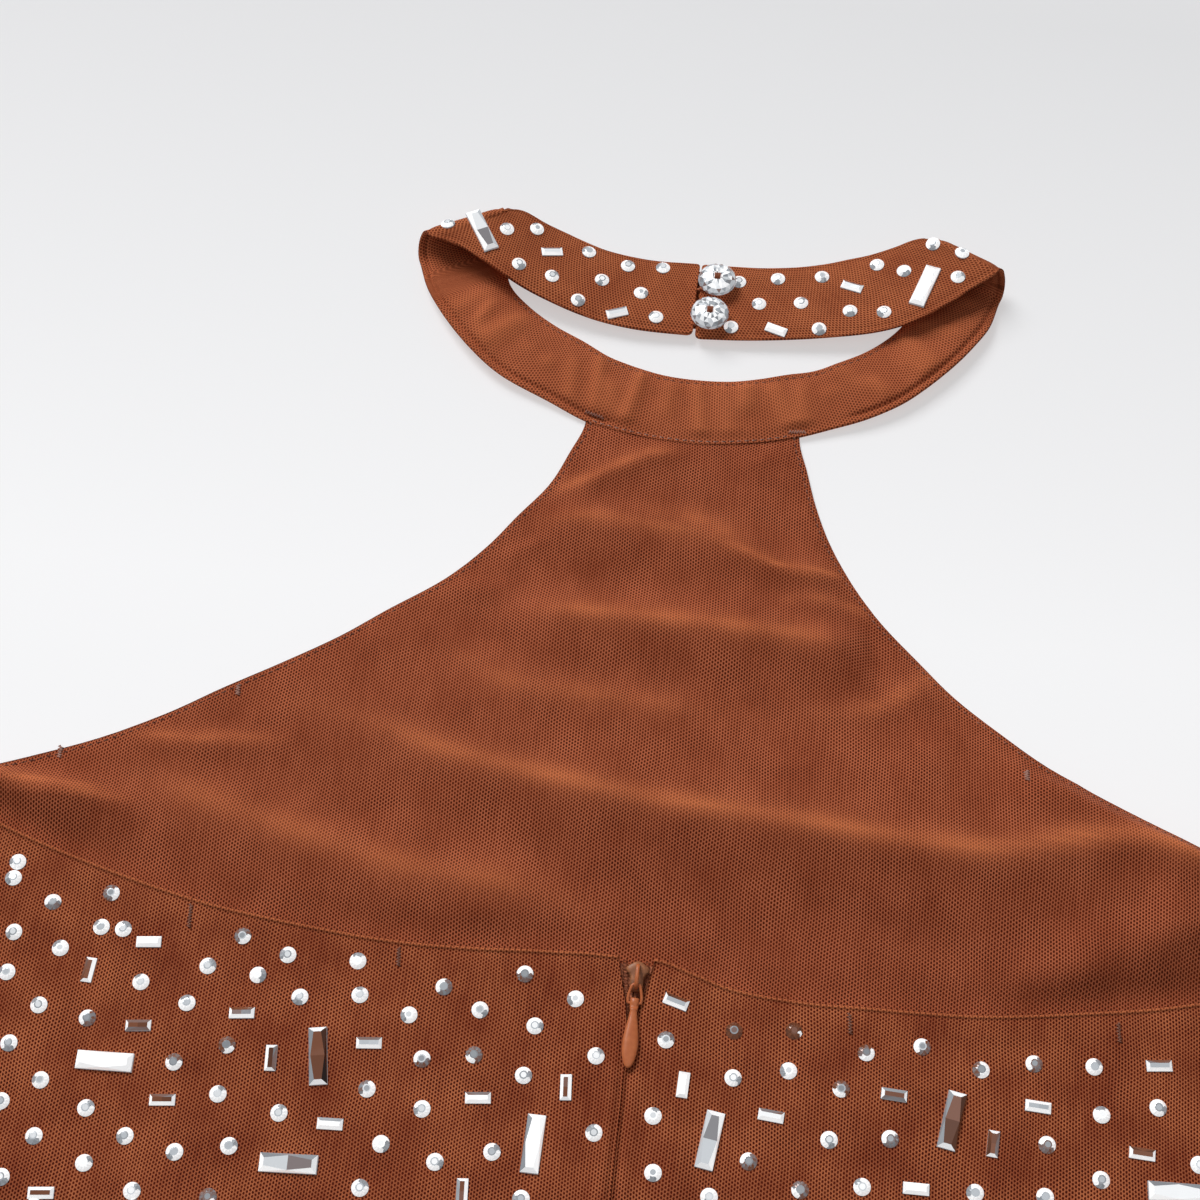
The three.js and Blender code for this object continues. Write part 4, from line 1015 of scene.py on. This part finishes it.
def round_stone(draw, light):
    """A round stone's points, facets and how light each facet's painted reflection looks: a table in a ring
    of kites. One side of the ring has a darker painted reflection, and the less light the stone has the wider
    that side is."""
    r, h, sides = ROUND["across"] / 2, ROUND["height"], ROUND["sides"]
    half = sides // 2
    # radius, height, corners and whether it is turned half a corner, from the cloth up
    rings = [(r, 0.0, sides, 0), (r, 0.3 * h, sides, 0), (0.74 * r, 0.76 * h, half, 1)]
    rings += [(0.5 * r, 0.97 * h, half, 0), (0.34 * r, h, half, 0)]
    points = []
    for radius, height, count, turned in rings:
        for i in range(count):
            angle = 2 * math.pi * (i + turned / 2) / count
            points.append((radius * math.cos(angle), radius * math.sin(angle), height))
    crown, table = 2 * sides, 2 * sides + half
    faces, shades = [], []
    # Painted reflections: the rim is painted a darker grey, the dull side darker, the ring round the table
    # and the table greyer, the rest near white.
    turn, dull_reflection = draw.uniform(0, half), 0.4 * light - 0.01
    reach = half * (0.1 + 0.42 * (1 - light)) * draw.uniform(0.7, 1.4)
    inner = draw.choice([0.36, 0.5, 0.6, 0.95]) * light
    for i in range(sides):
        j = (i + 1) % sides
        faces.append([i, j, sides + j, sides + i])
        shades.append(0.12 + 0.26 * light)
    for k in range(half):
        n = (k + 1) % half
        left, mid, right = sides + 2 * k, sides + 2 * k + 1, sides + (2 * k + 2) % sides
        faces += [[left, mid, crown + k], [mid, right, crown + k]]
        faces += [[right, crown + n, table + n, crown + k], [table + k, crown + k, table + n]]
        off = abs((k - turn + half / 2) % half - half / 2)
        shade = dull_reflection if off < reach else 0.97
        faces.append([table + k, table + n, table + half + n, table + half + k])
        shades += [min(1, shade + draw.uniform(-0.07, 0.05)) for _ in range(4)]
        shades.append(inner)
    faces.append([table + half + k for k in range(half)])
    shades.append(draw.choice([0.5, 0.66, 0.85]) if light > 0.9 else 0.6 * light)
    return np.array(points), faces, shades


def baguette(size):
    """What makes a long stone: a table, bowed out at the middle if it is a long one, and four bevels."""

    def make(draw, light):
        a, b = size["length"] / 2, size["width"] / 2
        h, bevel, bow = size["height"], size["bevel"], size["bow"]
        points = [(-a, -b, 0), (a, -b, 0), (a, b, 0), (-a, b, 0)]
        points += [(x * 0.985, y * 0.97, h * 0.5) for x, y, _ in points]
        x, y = a - bevel * 0.9, b - bevel
        points += [(-x, -y, h), (0, -y - bow, h * 0.98), (x, -y, h)]
        points += [(x, y, h), (0, y + bow, h * 0.98), (-x, y, h)]
        faces = [[0, 1, 5, 4], [1, 2, 6, 5], [2, 3, 7, 6], [3, 0, 4, 7]]
        faces += [[4, 5, 9], [4, 9, 8], [5, 10, 9], [5, 6, 11, 10], [6, 7, 12], [6, 12, 11], [7, 13, 12]]
        faces += [[7, 4, 8, 13], [8, 9, 12, 13], [9, 10, 11, 12]]
        # Painted reflections: the low sides a mid grey, the table as light as the stone or darker, split into
        # a lighter and a darker half on some long ones, one long bevel white unless the stone is dark and the
        # other darker, the ends near white.
        table = max(light, 0.14) if bow else light * draw.choice([0.15, 0.5, 0.8, 0.97])
        halves = (table + 0.3, 0.3) if bow and 0.2 < light < 0.7 else (table, table)
        far = draw.choice([0.35, 0.6, 0.95] if bow else [0.12, 0.22, 0.4, 0.95])
        near = 1.0 if light > 0.2 else 0.04 if bow else 0.25
        shades = [0.5, 0.5, 0.5, 0.5, near, near, near, 0.85, far, far, far, 0.9, *halves]
        return np.array(points), faces, [min(1, shade + draw.uniform(-0.06, 0.04)) for shade in shades]

    return make


def stone_place(point, normal, turn):
    """The directions and the place, in millimetres of the dress, that set a stone on the cloth."""
    up = Vector(normal).normalized()
    along = Vector((math.cos(math.radians(turn)), math.sin(math.radians(turn)), 0))
    along = (along - up * along.dot(up)).normalized()
    side = up.cross(along)
    return np.column_stack([np.array(along), np.array(side), np.array(up)]), millimetres(point)


def set_stones(name, kinds, seed):
    """One mesh of many stones. kinds pairs what makes a stone with where each one goes."""
    draw = np.random.default_rng(seed)
    stones, shades = [], []
    for make, places in kinds:
        for point, normal, turn, light in places:
            shape, facets, lights = make(draw, light)
            basis, home = stone_place(point, normal, turn)
            stones.append(((shape - np.array([0, 0, SUNK])) @ basis.T + home, facets))
            shades += lights
    piece = add_piece(name, *merged(stones), crystal, smooth=False, painted_reflection=shades)
    return piece


ROUND_TURN = 47  # degrees from one round stone to the next, so that no two near each other look alike


def with_turns(rounds, before=0):
    """Round stones with a turn each. before is how many were given one earlier."""
    return [(across, down, ROUND_TURN * (n + 1 + before) % 90, *light)
            for n, (across, down, *light) in enumerate(rounds)]


def by_pixel(places):
    """Where stones given by pixel sit on the cloth, with the turn each has on the dress and its light."""
    found = []
    for across, down, turn, *light in places:
        point, normal = seen_at(min(max(across, 1), FRAME_PIXELS - 1), min(down, FRAME_PIXELS - 1))
        if point is None:
            continue
        angle = math.radians(turn)
        rise = math.sin(angle) / math.sin(math.radians(CAMERA_DOWN))
        turn = CAMERA_TURN + math.degrees(math.atan2(rise, math.cos(angle)))
        found.append((point, normal, turn, *(light or [1])))
    return found


def by_place(places):
    """Where stones given in millimetres of the dress sit on the cloth, with their turn and light."""
    return [(*above(x, y), turn, light) for x, y, turn, light in places]


def hidden_scatter(big, sign):
    """Small stones over the rest of the back, in staggered rows that thin out towards the hem."""
    draw = np.random.default_rng(41 if sign < 0 else 43)
    rounds, small = [], []
    shift, clear = SCATTER["shift"], SCATTER["clear"]
    y, row = SCATTER["first"], 0
    while y > HEM_Y + 2 * SCATTER["side"]:
        pitch = SCATTER["pitch"] + SCATTER["wider"] * smooth_step(-y, 250, 1000)
        x = 9.0 + (row % 2) * pitch / 2
        while x < float(half_width(sign, np.array(y))) - SCATTER["side"]:
            spot = (sign * x + draw.uniform(-shift, shift), y + draw.uniform(-shift, shift))
            turn = draw.uniform(0, 360)
            oblong = draw.uniform() < 0.2
            square = draw.choice([0, 90]) + draw.uniform(-12, 12)
            # How light the stone's painted reflections are.
            light = draw.choice([1.0, 1.0, 1.0, 0.65, 0.5, 0.3])
            x += pitch
            crowded = any(abs(spot[0] - b[0]) < clear and abs(spot[1] - b[1]) < clear for b in big)
            if crowded or in_view((*spot, 3)):
                continue
            if oblong:
                small.append((*spot, square, light))
            else:
                rounds.append((*spot, turn, light))
        y -= pitch * 0.9
        row += 1
    return by_place(rounds), by_place(small)


def stones_of_back(sign):
    """All the stones of one back panel: those the frame holds, then the rest."""
    side = [stone for stone in big_stones() if stone[0] * sign > 0]
    seen_rounds, seen_small = (
        [stone for stone in by_pixel(places) if (stone[0][0] - ZIP_MIDDLE) * sign > 0]
        for places in (with_turns(BACK_ROUNDS), BACK_BAGUETTES)
    )
    rounds, small = hidden_scatter(side, sign)
    kinds = [
        (round_stone, seen_rounds + rounds),
        (baguette(SMALL_BAGUETTE), seen_small + small),
        (baguette(BIG_BAGUETTE), by_place(side)),
    ]
    return set_stones("stones_back_left" if sign < 0 else "stones_back_right", kinds, 3 + sign)


stones_left = stones_of_back(-1)
stones_right = stones_of_back(1)
stones_collar = set_stones(
    "stones_collar",
    [
        (round_stone, by_pixel(with_turns(COLLAR_ROUNDS, len(BACK_ROUNDS)))),
        (baguette(SMALL_BAGUETTE), by_pixel(COLLAR_BAGUETTES)),
        (baguette(BIG_BAGUETTE), by_pixel(COLLAR_BIG)),
    ],
    9,
)


# ---- buttons ----
BUTTON_FACETS = 18
BUTTON_RINGS = [  # radius, height over the collar and whether the ring is turned half a facet
    (3.4, 1.1, 0), (5.7, 1.9, 0), (6.15, 2.7, 1), (5.75, 3.4, 0), (4.7, 4.2, 1), (3.3, 4.75, 0),
    (1.7, 5.0, 1), (1.15, 4.7, 1), (1.05, 3.4, 1),
]
# How light a facet's painted reflection can look, and the share of facets that do.
BUTTON_LIGHTS = {0.3: 0.14, 0.42: 0.14, 0.6: 0.15, 0.78: 0.15, 0.9: 0.18, 1.0: 0.24}


def button(node, seed):
    """A faceted dome with a dimple that its thread comes up through."""
    low, high = corners_of(node)
    x, y = (low[:2] + high[:2]) / 2 + np.array([0, 0.5])
    base = low[2] + 0.3
    points, faces = [], []
    for radius, height, turned in BUTTON_RINGS:
        for i in range(BUTTON_FACETS):
            angle = 2 * math.pi * (i + turned / 2) / BUTTON_FACETS
            points.append((x + radius * math.cos(angle), y + radius * math.sin(angle), base + height))
    for ring in range(len(BUTTON_RINGS) - 1):
        turned_here, turned_next = BUTTON_RINGS[ring][2], BUTTON_RINGS[ring + 1][2]
        for i in range(BUTTON_FACETS):
            j = (i + 1) % BUTTON_FACETS
            a, b = ring * BUTTON_FACETS + i, ring * BUTTON_FACETS + j
            c, d = a + BUTTON_FACETS, b + BUTTON_FACETS
            if turned_here and not turned_next:
                faces += [[a, d, c], [a, b, d]]
            elif turned_next and not turned_here:
                faces += [[a, b, c], [b, d, c]]
            else:
                faces.append([a, b, d, c])
    faces.append(list(range(BUTTON_FACETS))[::-1])
    last = (len(BUTTON_RINGS) - 1) * BUTTON_FACETS
    faces.append([last + i for i in range(BUTTON_FACETS)])
    draw = np.random.default_rng(seed)
    shades = draw.choice(list(BUTTON_LIGHTS), len(faces), p=list(BUTTON_LIGHTS.values()))
    middles = [np.mean([points[i] for i in face], axis=0) for face in faces]
    out = np.array([math.hypot(middle[0] - x, middle[1] - y) for middle in middles])
    # Facets towards the rim are painted darker: painted shade on the dome's sloping edge.
    shades = np.maximum(shades * (1 - 0.45 * smooth_step(out, 3.6, 6.0)), 0.22)
    piece = add_piece(f"{node}_cut", points, faces, crystal, smooth=False, painted_reflection=shades)
    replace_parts(piece, node)
    return piece, (x, y, base)


def ring_faces(rings, sides):
    """The faces of a solid through rings of points, closed at both ends."""
    faces = []
    for n in range(rings - 1):
        for i in range(sides):
            j = (i + 1) % sides
            faces.append([n * sides + i, n * sides + j, (n + 1) * sides + j, (n + 1) * sides + i])
    return faces + [list(range(sides))[::-1], [(rings - 1) * sides + i for i in range(sides)]]


def section(sides, power=1.0):
    """Cosines and sines round a section: a circle, or squarer with a power under 1."""
    angles = 2 * np.pi * np.arange(sides) / sides
    return [np.sign(wave) * np.abs(wave) ** power for wave in (np.cos(angles), np.sin(angles))]


def swept(path, side, up, wide, tall):
    """A solid of one section along a path, with the directions of its sides and its top."""
    ring = wide[None, :, None] * side[:, None] + tall[None, :, None] * up[:, None]
    return (path[:, None] + ring).reshape(-1, 3), ring_faces(len(path), len(wide))


def tube(path, radius, sides=6):
    """A round thread along points, closed at its ends."""
    path = np.asarray(path, float)
    ahead = unit(np.gradient(path, axis=0))
    side = unit(np.cross(ahead, np.array([0.13, 0.21, 1.0])))
    across, tall = section(sides)
    return swept(path, side, np.cross(side, ahead), radius * across, radius * tall)


def joined_tubes(name, paths, radius, material, sides=5):
    """One mesh of many threads."""
    return add_piece(name, *merged(tube(path, radius, sides) for path in paths), material)


def button_thread(name, x, y, base):
    """The strands that come up through the button's eye and go down again."""
    strands = []
    for n in range(5):
        angle = np.linspace(0, np.pi, 11)
        across = x + 0.36 * (n - 2) + 0.12 * (n % 2) * np.cos(angle)
        strands.append(np.column_stack([across, y + 1.15 * np.cos(angle), base + 4.4 + 0.85 * np.sin(angle)]))
    return joined_tubes(name, strands, 0.24, rust_thread, sides=7)


button_pieces = []
for seed, node in enumerate(("button_upper", "button_lower")):
    piece, (bx, by, bz) = button(node, 60 + seed)
    button_pieces += [piece, button_thread(f"{node}_thread", bx, by, bz)]


def neckline_roll(name, edge):
    """The folded top edge of a back panel, pulled tight by its seam: a thin roll that catches the light,
    painted lighter all along as a highlight.
    """
    points, faces = tube(edge + np.array([0, 0, 0.06 - CLOTH / 2]), 0.54, sides=8)
    roll = add_piece(name, points, faces, net_outside, uv=points[:, :2], taut=np.full(len(points), 0.5))
    return roll


def zip_lap(edge):
    """Where the folds of the two back panels press on one another over the closed zip."""
    points, faces = tube(edge[edge[:, 1] < -23] + np.array([-0.24, 0, -1.0]), 0.4, sides=8)
    lap = add_piece("zip_lap", points, faces, net_outside, uv=points[:, :2])
    return lap


rolls = [
    neckline_roll("neckline_roll_left", back_left_upper[0]),
    neckline_roll("neckline_roll_right", back_right_upper[0]),
    zip_lap(back_right_upper[:, 0]),
]


# ---- stitching ----
STITCH = dict(step=2.4, length=1.8, width=0.6, height=0.32, sink=0.12)
STITCH_FACES = [
    [0, 5, 6], [0, 6, 7], [5, 2, 3, 6], [6, 3, 4, 7], [1, 8, 9], [1, 9, 10], [8, 2, 3, 9], [9, 3, 4, 10],
]


def stitch_mesh(name, lines, material):
    """Rows of short stitches. A line is points along a row and the cloth's normal at each, in mm. A
    stitch's corners are its two ends, its middle over the cloth, and two places in between."""
    step, half = STITCH["step"], STITCH["length"] / 2
    stitches = []
    for line, normals in lines:
        line, normals = np.asarray(line, float), np.asarray(normals, float)
        along = distance_along(line)
        for start in np.arange(step / 2, along[-1] - step / 2, step):
            ends = [start - half, start, start + half]
            at = np.column_stack([np.interp(ends, along, line[:, c]) for c in range(3)])
            up = unit(np.array([np.interp(start, along, normals[:, c]) for c in range(3)]))
            ahead = at[2] - at[0]
            side = np.cross(up, unit(ahead)) * STITCH["width"] / 2
            sink = up * STITCH["sink"]
            corners = [at[0] - sink, at[2] - sink]
            corners += [at[1] + side - sink, at[1] + up * STITCH["height"], at[1] - side - sink]
            for share in (-0.62, 0.62):
                mid = at[1] + ahead / 2 * share
                crest = mid + up * STITCH["height"] * 0.8
                corners += [mid + side * 0.8 - sink, crest, mid - side * 0.8 - sink]
            stitches.append((corners, STITCH_FACES))
    return add_piece(name, *merged(stitches), material)


def grid_line(upper, inset, side):
    """A row of places at a distance inside one edge of a cloth's upper grid, with normals."""
    rows = upper if side in ("first", "last") else upper.transpose(1, 0, 2)
    rows = rows if side in ("first", "near") else rows[:, ::-1]
    places = []
    for row in rows:
        reach = distance_along(row)
        places.append([np.interp(inset, reach, row[:, c]) for c in range(3)])
    return np.array(places)


def upward(line):
    """Normals that point straight up, for cloth that lies flat."""
    return np.tile([0, 0, 1.0], (len(line), 1))


def armhole_lines():
    """Rows inside the front's armholes, from the underarm to the neck seam."""
    lines = []
    for column, side in ((0, 1), (-1, -1)):
        edge = front_upper[:, column]
        edge = edge[edge[:, 1] > ARMHOLE_Y][:, :2]
        ahead = unit(np.gradient(edge, axis=0))
        row = edge + side * STITCH_INSET * np.column_stack([-ahead[:, 1], ahead[:, 0]])
        found = [above(px, py)[0] for px, py in row]
        line = millimetres(found)
        lines.append((line, upward(line)))
    return lines


def collar_line(side, inset, reach):
    """A row of stitches on the inside of the collar's front half, as far as reach from the middle."""
    line = grid_line(collar_upper, inset, side)
    middle = len(line) // 2
    shown = np.abs(line[:, 0]) < reach
    shown[: middle - COLLAR_STATIONS // 4] = shown[middle + COLLAR_STATIONS // 4 :] = False
    return line[shown], collar_normal[shown, 0]


HEM_ROWS = (16, 18.5)  # its two rows of stitches, up from the edge
ARMHOLE_Y = 32  # where the rows inside the armholes start


def hem_lines():
    """Two rows along the hem of each back panel."""
    lines = []
    for upper in (back_left_upper, back_right_upper):
        for inset in HEM_ROWS:
            line = grid_line(upper, inset, "far")
            lines.append((line, upward(line)))
    return lines


armhole_stitches = stitch_mesh("armhole_stitches", armhole_lines(), grey_thread)
collar_stitches = stitch_mesh("collar_stitches", [collar_line("last", STITCH_INSET, 62)], grey_thread)
seam_stitches = stitch_mesh("seam_stitches", [collar_line("first", 1.0, 32)], pale_thread)
hem_stitches = stitch_mesh("hem_stitches", hem_lines(), rust_thread)


# ---- bar tacks ----
# Where threads were knotted off, in pixels of the camera's frame, with the height in mm and, where it isn't
# upright, the turn.
NECKLINE_TACKS = [(190, 916, 6.5), (398.5, 957, 5), (850, 1024, 5.5), (1119, 1033, 5)]
ARMHOLE_TACKS = [(60, 752, 3.6), (238, 690, 3.2), (1027, 776, 3.2)]
SEAM_TACKS = [(594, 414.5, 6.0, -22), (797, 432, 5.0, 0)]
TACK_STEP = 0.42  # between crossings


def zigzag(wide, across, down, tall, turn=90.0):
    """A knotted-off thread: close stitches from side to side, on the cloth about a pixel of the frame."""
    point, normal = seen_at(across, down)
    basis, home = stone_place(point, normal, CAMERA_TURN + turn)
    crossings = max(5, round(tall / TACK_STEP))
    path = []
    for n in range(crossings + 1):
        side = wide / 2 * (1 if n % 2 else -1) * (0.8 + 0.4 * scatter(n + across))
        path += [(tall * (n / crossings - 0.5), side, 0.05), (tall * ((n + 0.5) / crossings - 0.5), 0, 0.3)]
    return np.array(path) @ basis.T + home


tacks = []
for name, places, wide, radius, thread in (
    ("neckline_tacks", NECKLINE_TACKS, 1.1, 0.18, grey_thread),
    ("armhole_tacks", ARMHOLE_TACKS, 1.5, 0.2, pale_thread),
    ("seam_tacks", SEAM_TACKS, 1.2, 0.16, pale_thread),
):
    tacks.append(joined_tubes(name, [zigzag(wide, *place) for place in places], radius, thread))


# ---- zip ----
def lofted(name, sections, material, round_off=2.6, sides=28):
    """A smooth solid through sections across y. Each is x, y, z, half-width and half-thickness."""
    across, tall = section(sides, 2 / round_off)
    points = []
    for x, y, z, wide, thick in sections:
        points += np.column_stack([x + wide * across, np.full(sides, y), z + thick * tall]).tolist()
    return add_piece(name, points, ring_faces(len(sections), sides), material)


def rounded_rows(rows, steps):
    """Sections in between a few named ones, on smooth curves."""
    rows = np.array(rows, float)
    marks = np.column_stack([np.linspace(0, 1, len(rows)), rows])
    fine = np.linspace(0, 1, steps)
    return np.column_stack([through(marks, c + 1, fine) for c in range(rows.shape[1])])


SLIDER_THICK = 2


def slider_body():
    """Two plates joined at the nose, whose wings hold the coil."""
    low, high = corners_of("zip_slider")
    x, top, base = (low[0] + high[0]) / 2, high[1], low[2]
    rows = [  # y from the nose, half-width, middle height, half-thickness
        (0.0, 0.6, 1.0, 0.4), (-0.4, 1.3, 1.0, 0.8), (-1.1, 2.3, 1.0, 1.0), (-1.9, 3.2, 1.0, 1.02),
        (-2.8, 3.2, 1.0, 1.02), (-3.5, 2.4, 1.0, 1.0), (-4.4, 1.9, 1.0, 1.0), (-7.2, 1.8, 1.0, 1.0),
        (-8.2, 1.6, 1.0, 0.85), (-8.4, 1.2, 1.0, 0.5),
    ]
    sections = [(x, top + y, base + z, wide, thick) for y, wide, z, thick in rows]
    # The body takes the darker enamel, painted shade.
    piece = lofted("slider_body", sections, shaded_enamel, round_off=3.4)
    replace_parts(piece, "zip_slider")
    return piece, x, top, base + SLIDER_THICK


def flat_bar(name, path, width, thick, material):
    """A bar of rounded section along a path in the plane across x."""
    path = np.array(path, float)
    ahead = unit(np.gradient(path, axis=0))
    side = np.tile([1.0, 0, 0], (len(path), 1))
    up = np.column_stack([np.zeros(len(path)), -ahead[:, 2], ahead[:, 1]])
    across, tall = section(14, 0.7)
    points, faces = swept(path, side, up, width / 2 * across, thick / 2 * tall)
    return add_piece(name, points, faces, material)


def slider_bridge(x, top, deck):
    """The arched bar on the slider that the link hangs from."""
    rows = [(x, top - 1.3, deck - 0.3), (x, top - 1.5, deck + 1.1), (x, top - 2.4, deck + 2.05),
            (x, top - 4.4, deck + 2.3), (x, top - 6.3, deck + 2.1), (x, top - 7.5, deck + 1.3),
            (x, top - 7.75, deck + 0.1), (x, top - 7.7, deck - 0.5)]
    return flat_bar("slider_bridge", rounded_rows(rows, 30), 1.05, 0.75, enamel)


def zip_link():
    """A D of wire: narrow where it hangs in the bridge, wide where it carries the pull."""
    low, high = corners_of("zip_link")
    wire, x = 0.42, (low[0] + high[0]) / 2
    front, back = (high[1] - wire, high[2] - wire), (low[1] + wire, low[2] + wire)
    outline = [(0.0, 0), (0.85, 0.02), (1.25, 0.16), (1.6, 0.42), (1.85, 0.72), (1.8, 0.92), (1.35, 1.0)]
    outline += [(-across, share) for across, share in outline[::-1]]
    front, fall = np.array([x, *front]), np.array([0, back[0] - front[0], back[1] - front[1]])
    corners = [front + fall * share + np.array([across, 0, 0]) for across, share in outline]
    points, faces = tube(rounded_rows(corners, 64), wire, sides=10)
    piece = add_piece("link_wire", points, faces, enamel)
    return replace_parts(piece, "zip_link")


def zip_pull():
    """A drop of enamelled zinc: its head wraps the link's bar, and it narrows to a neck below that."""
    low, high = corners_of("zip_pull")
    x, top = (low[0] + high[0]) / 2, high[1]
    head = (low[2] + high[2]) / 2
    lying = low[2] + 1.45
    rows = [  # y from the top, half-width, middle height, half-thickness
        (0.0, 0.8, head, 0.35), (-0.15, 1.12, head, 0.72), (-0.7, 1.24, head, 0.95), (-1.5, 1.25, head, 1.0),
        (-2.5, 1.2, head - 0.05, 0.9), (-3.3, 1.12, lying, 0.78), (-4.0, 1.02, lying, 0.72),
        (-5.5, 1.2, lying, 0.72), (-8.0, 1.65, lying, 0.78), (-11.0, 2.08, lying, 0.82),
        (-13.5, 2.15, lying, 0.82), (-15.6, 1.95, lying, 0.78), (-17.4, 1.5, lying, 0.7),
        (-18.6, 0.95, lying, 0.55), (-19.1, 0.4, lying, 0.3),
    ]
    smooth = rounded_rows(rows, 60)
    sections = [(x, top + y, z, max(wide, 0.1), max(thick, 0.1)) for y, wide, z, thick in smooth]
    piece = lofted("pull_drop", sections, enamel, round_off=2.3)
    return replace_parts(piece, "zip_pull")


COIL = dict(top=1.5, end=-20, pitch=0.95, wide=0.75, slant=0.32, wire=0.15)


def zip_coil():
    """The coil's turns along both tapes where the panels part above and beside the slider."""
    top = corners_of("zip_tape_left")[1][2]
    turns = []
    for side in (-1, 1):
        for y in np.arange(COIL["top"], COIL["end"], -COIL["pitch"]):
            spread = float(parted(-1, y)) * 0.55 + 0.5
            angle = np.linspace(0, 2 * np.pi, 9)
            rise = 0.35 + 0.35 * np.sin(angle)
            across = side * spread + COIL["wide"] * np.cos(angle)
            turns.append(np.column_stack([across, y + COIL["slant"] * np.sin(angle), top + rise]))
    return joined_tubes("zip_coil", turns, COIL["wire"], rust_thread)


slider, slider_x, slider_top, slider_deck = slider_body()
bridge = slider_bridge(slider_x, slider_top, slider_deck)
link_wire = zip_link()
pull_drop = zip_pull()
coil = zip_coil()
for node in ("zip_tape_left", "zip_tape_right", "button_loop_upper", "button_loop_lower"):
    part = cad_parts[node]
    part.data.materials.clear()
    part.data.materials.append(tape)

# ---- what rides on what ----
TRIMS = [*rolls, tab, stones_left, stones_right, stones_collar, *button_pieces]
TRIMS += [armhole_stitches, collar_stitches, seam_stitches, hem_stitches, *tacks]
for piece in CLOTHS + TRIMS + [slider, bridge, coil]:
    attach(piece, "dress")
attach(link_wire, "link")
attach(pull_drop, "pull")
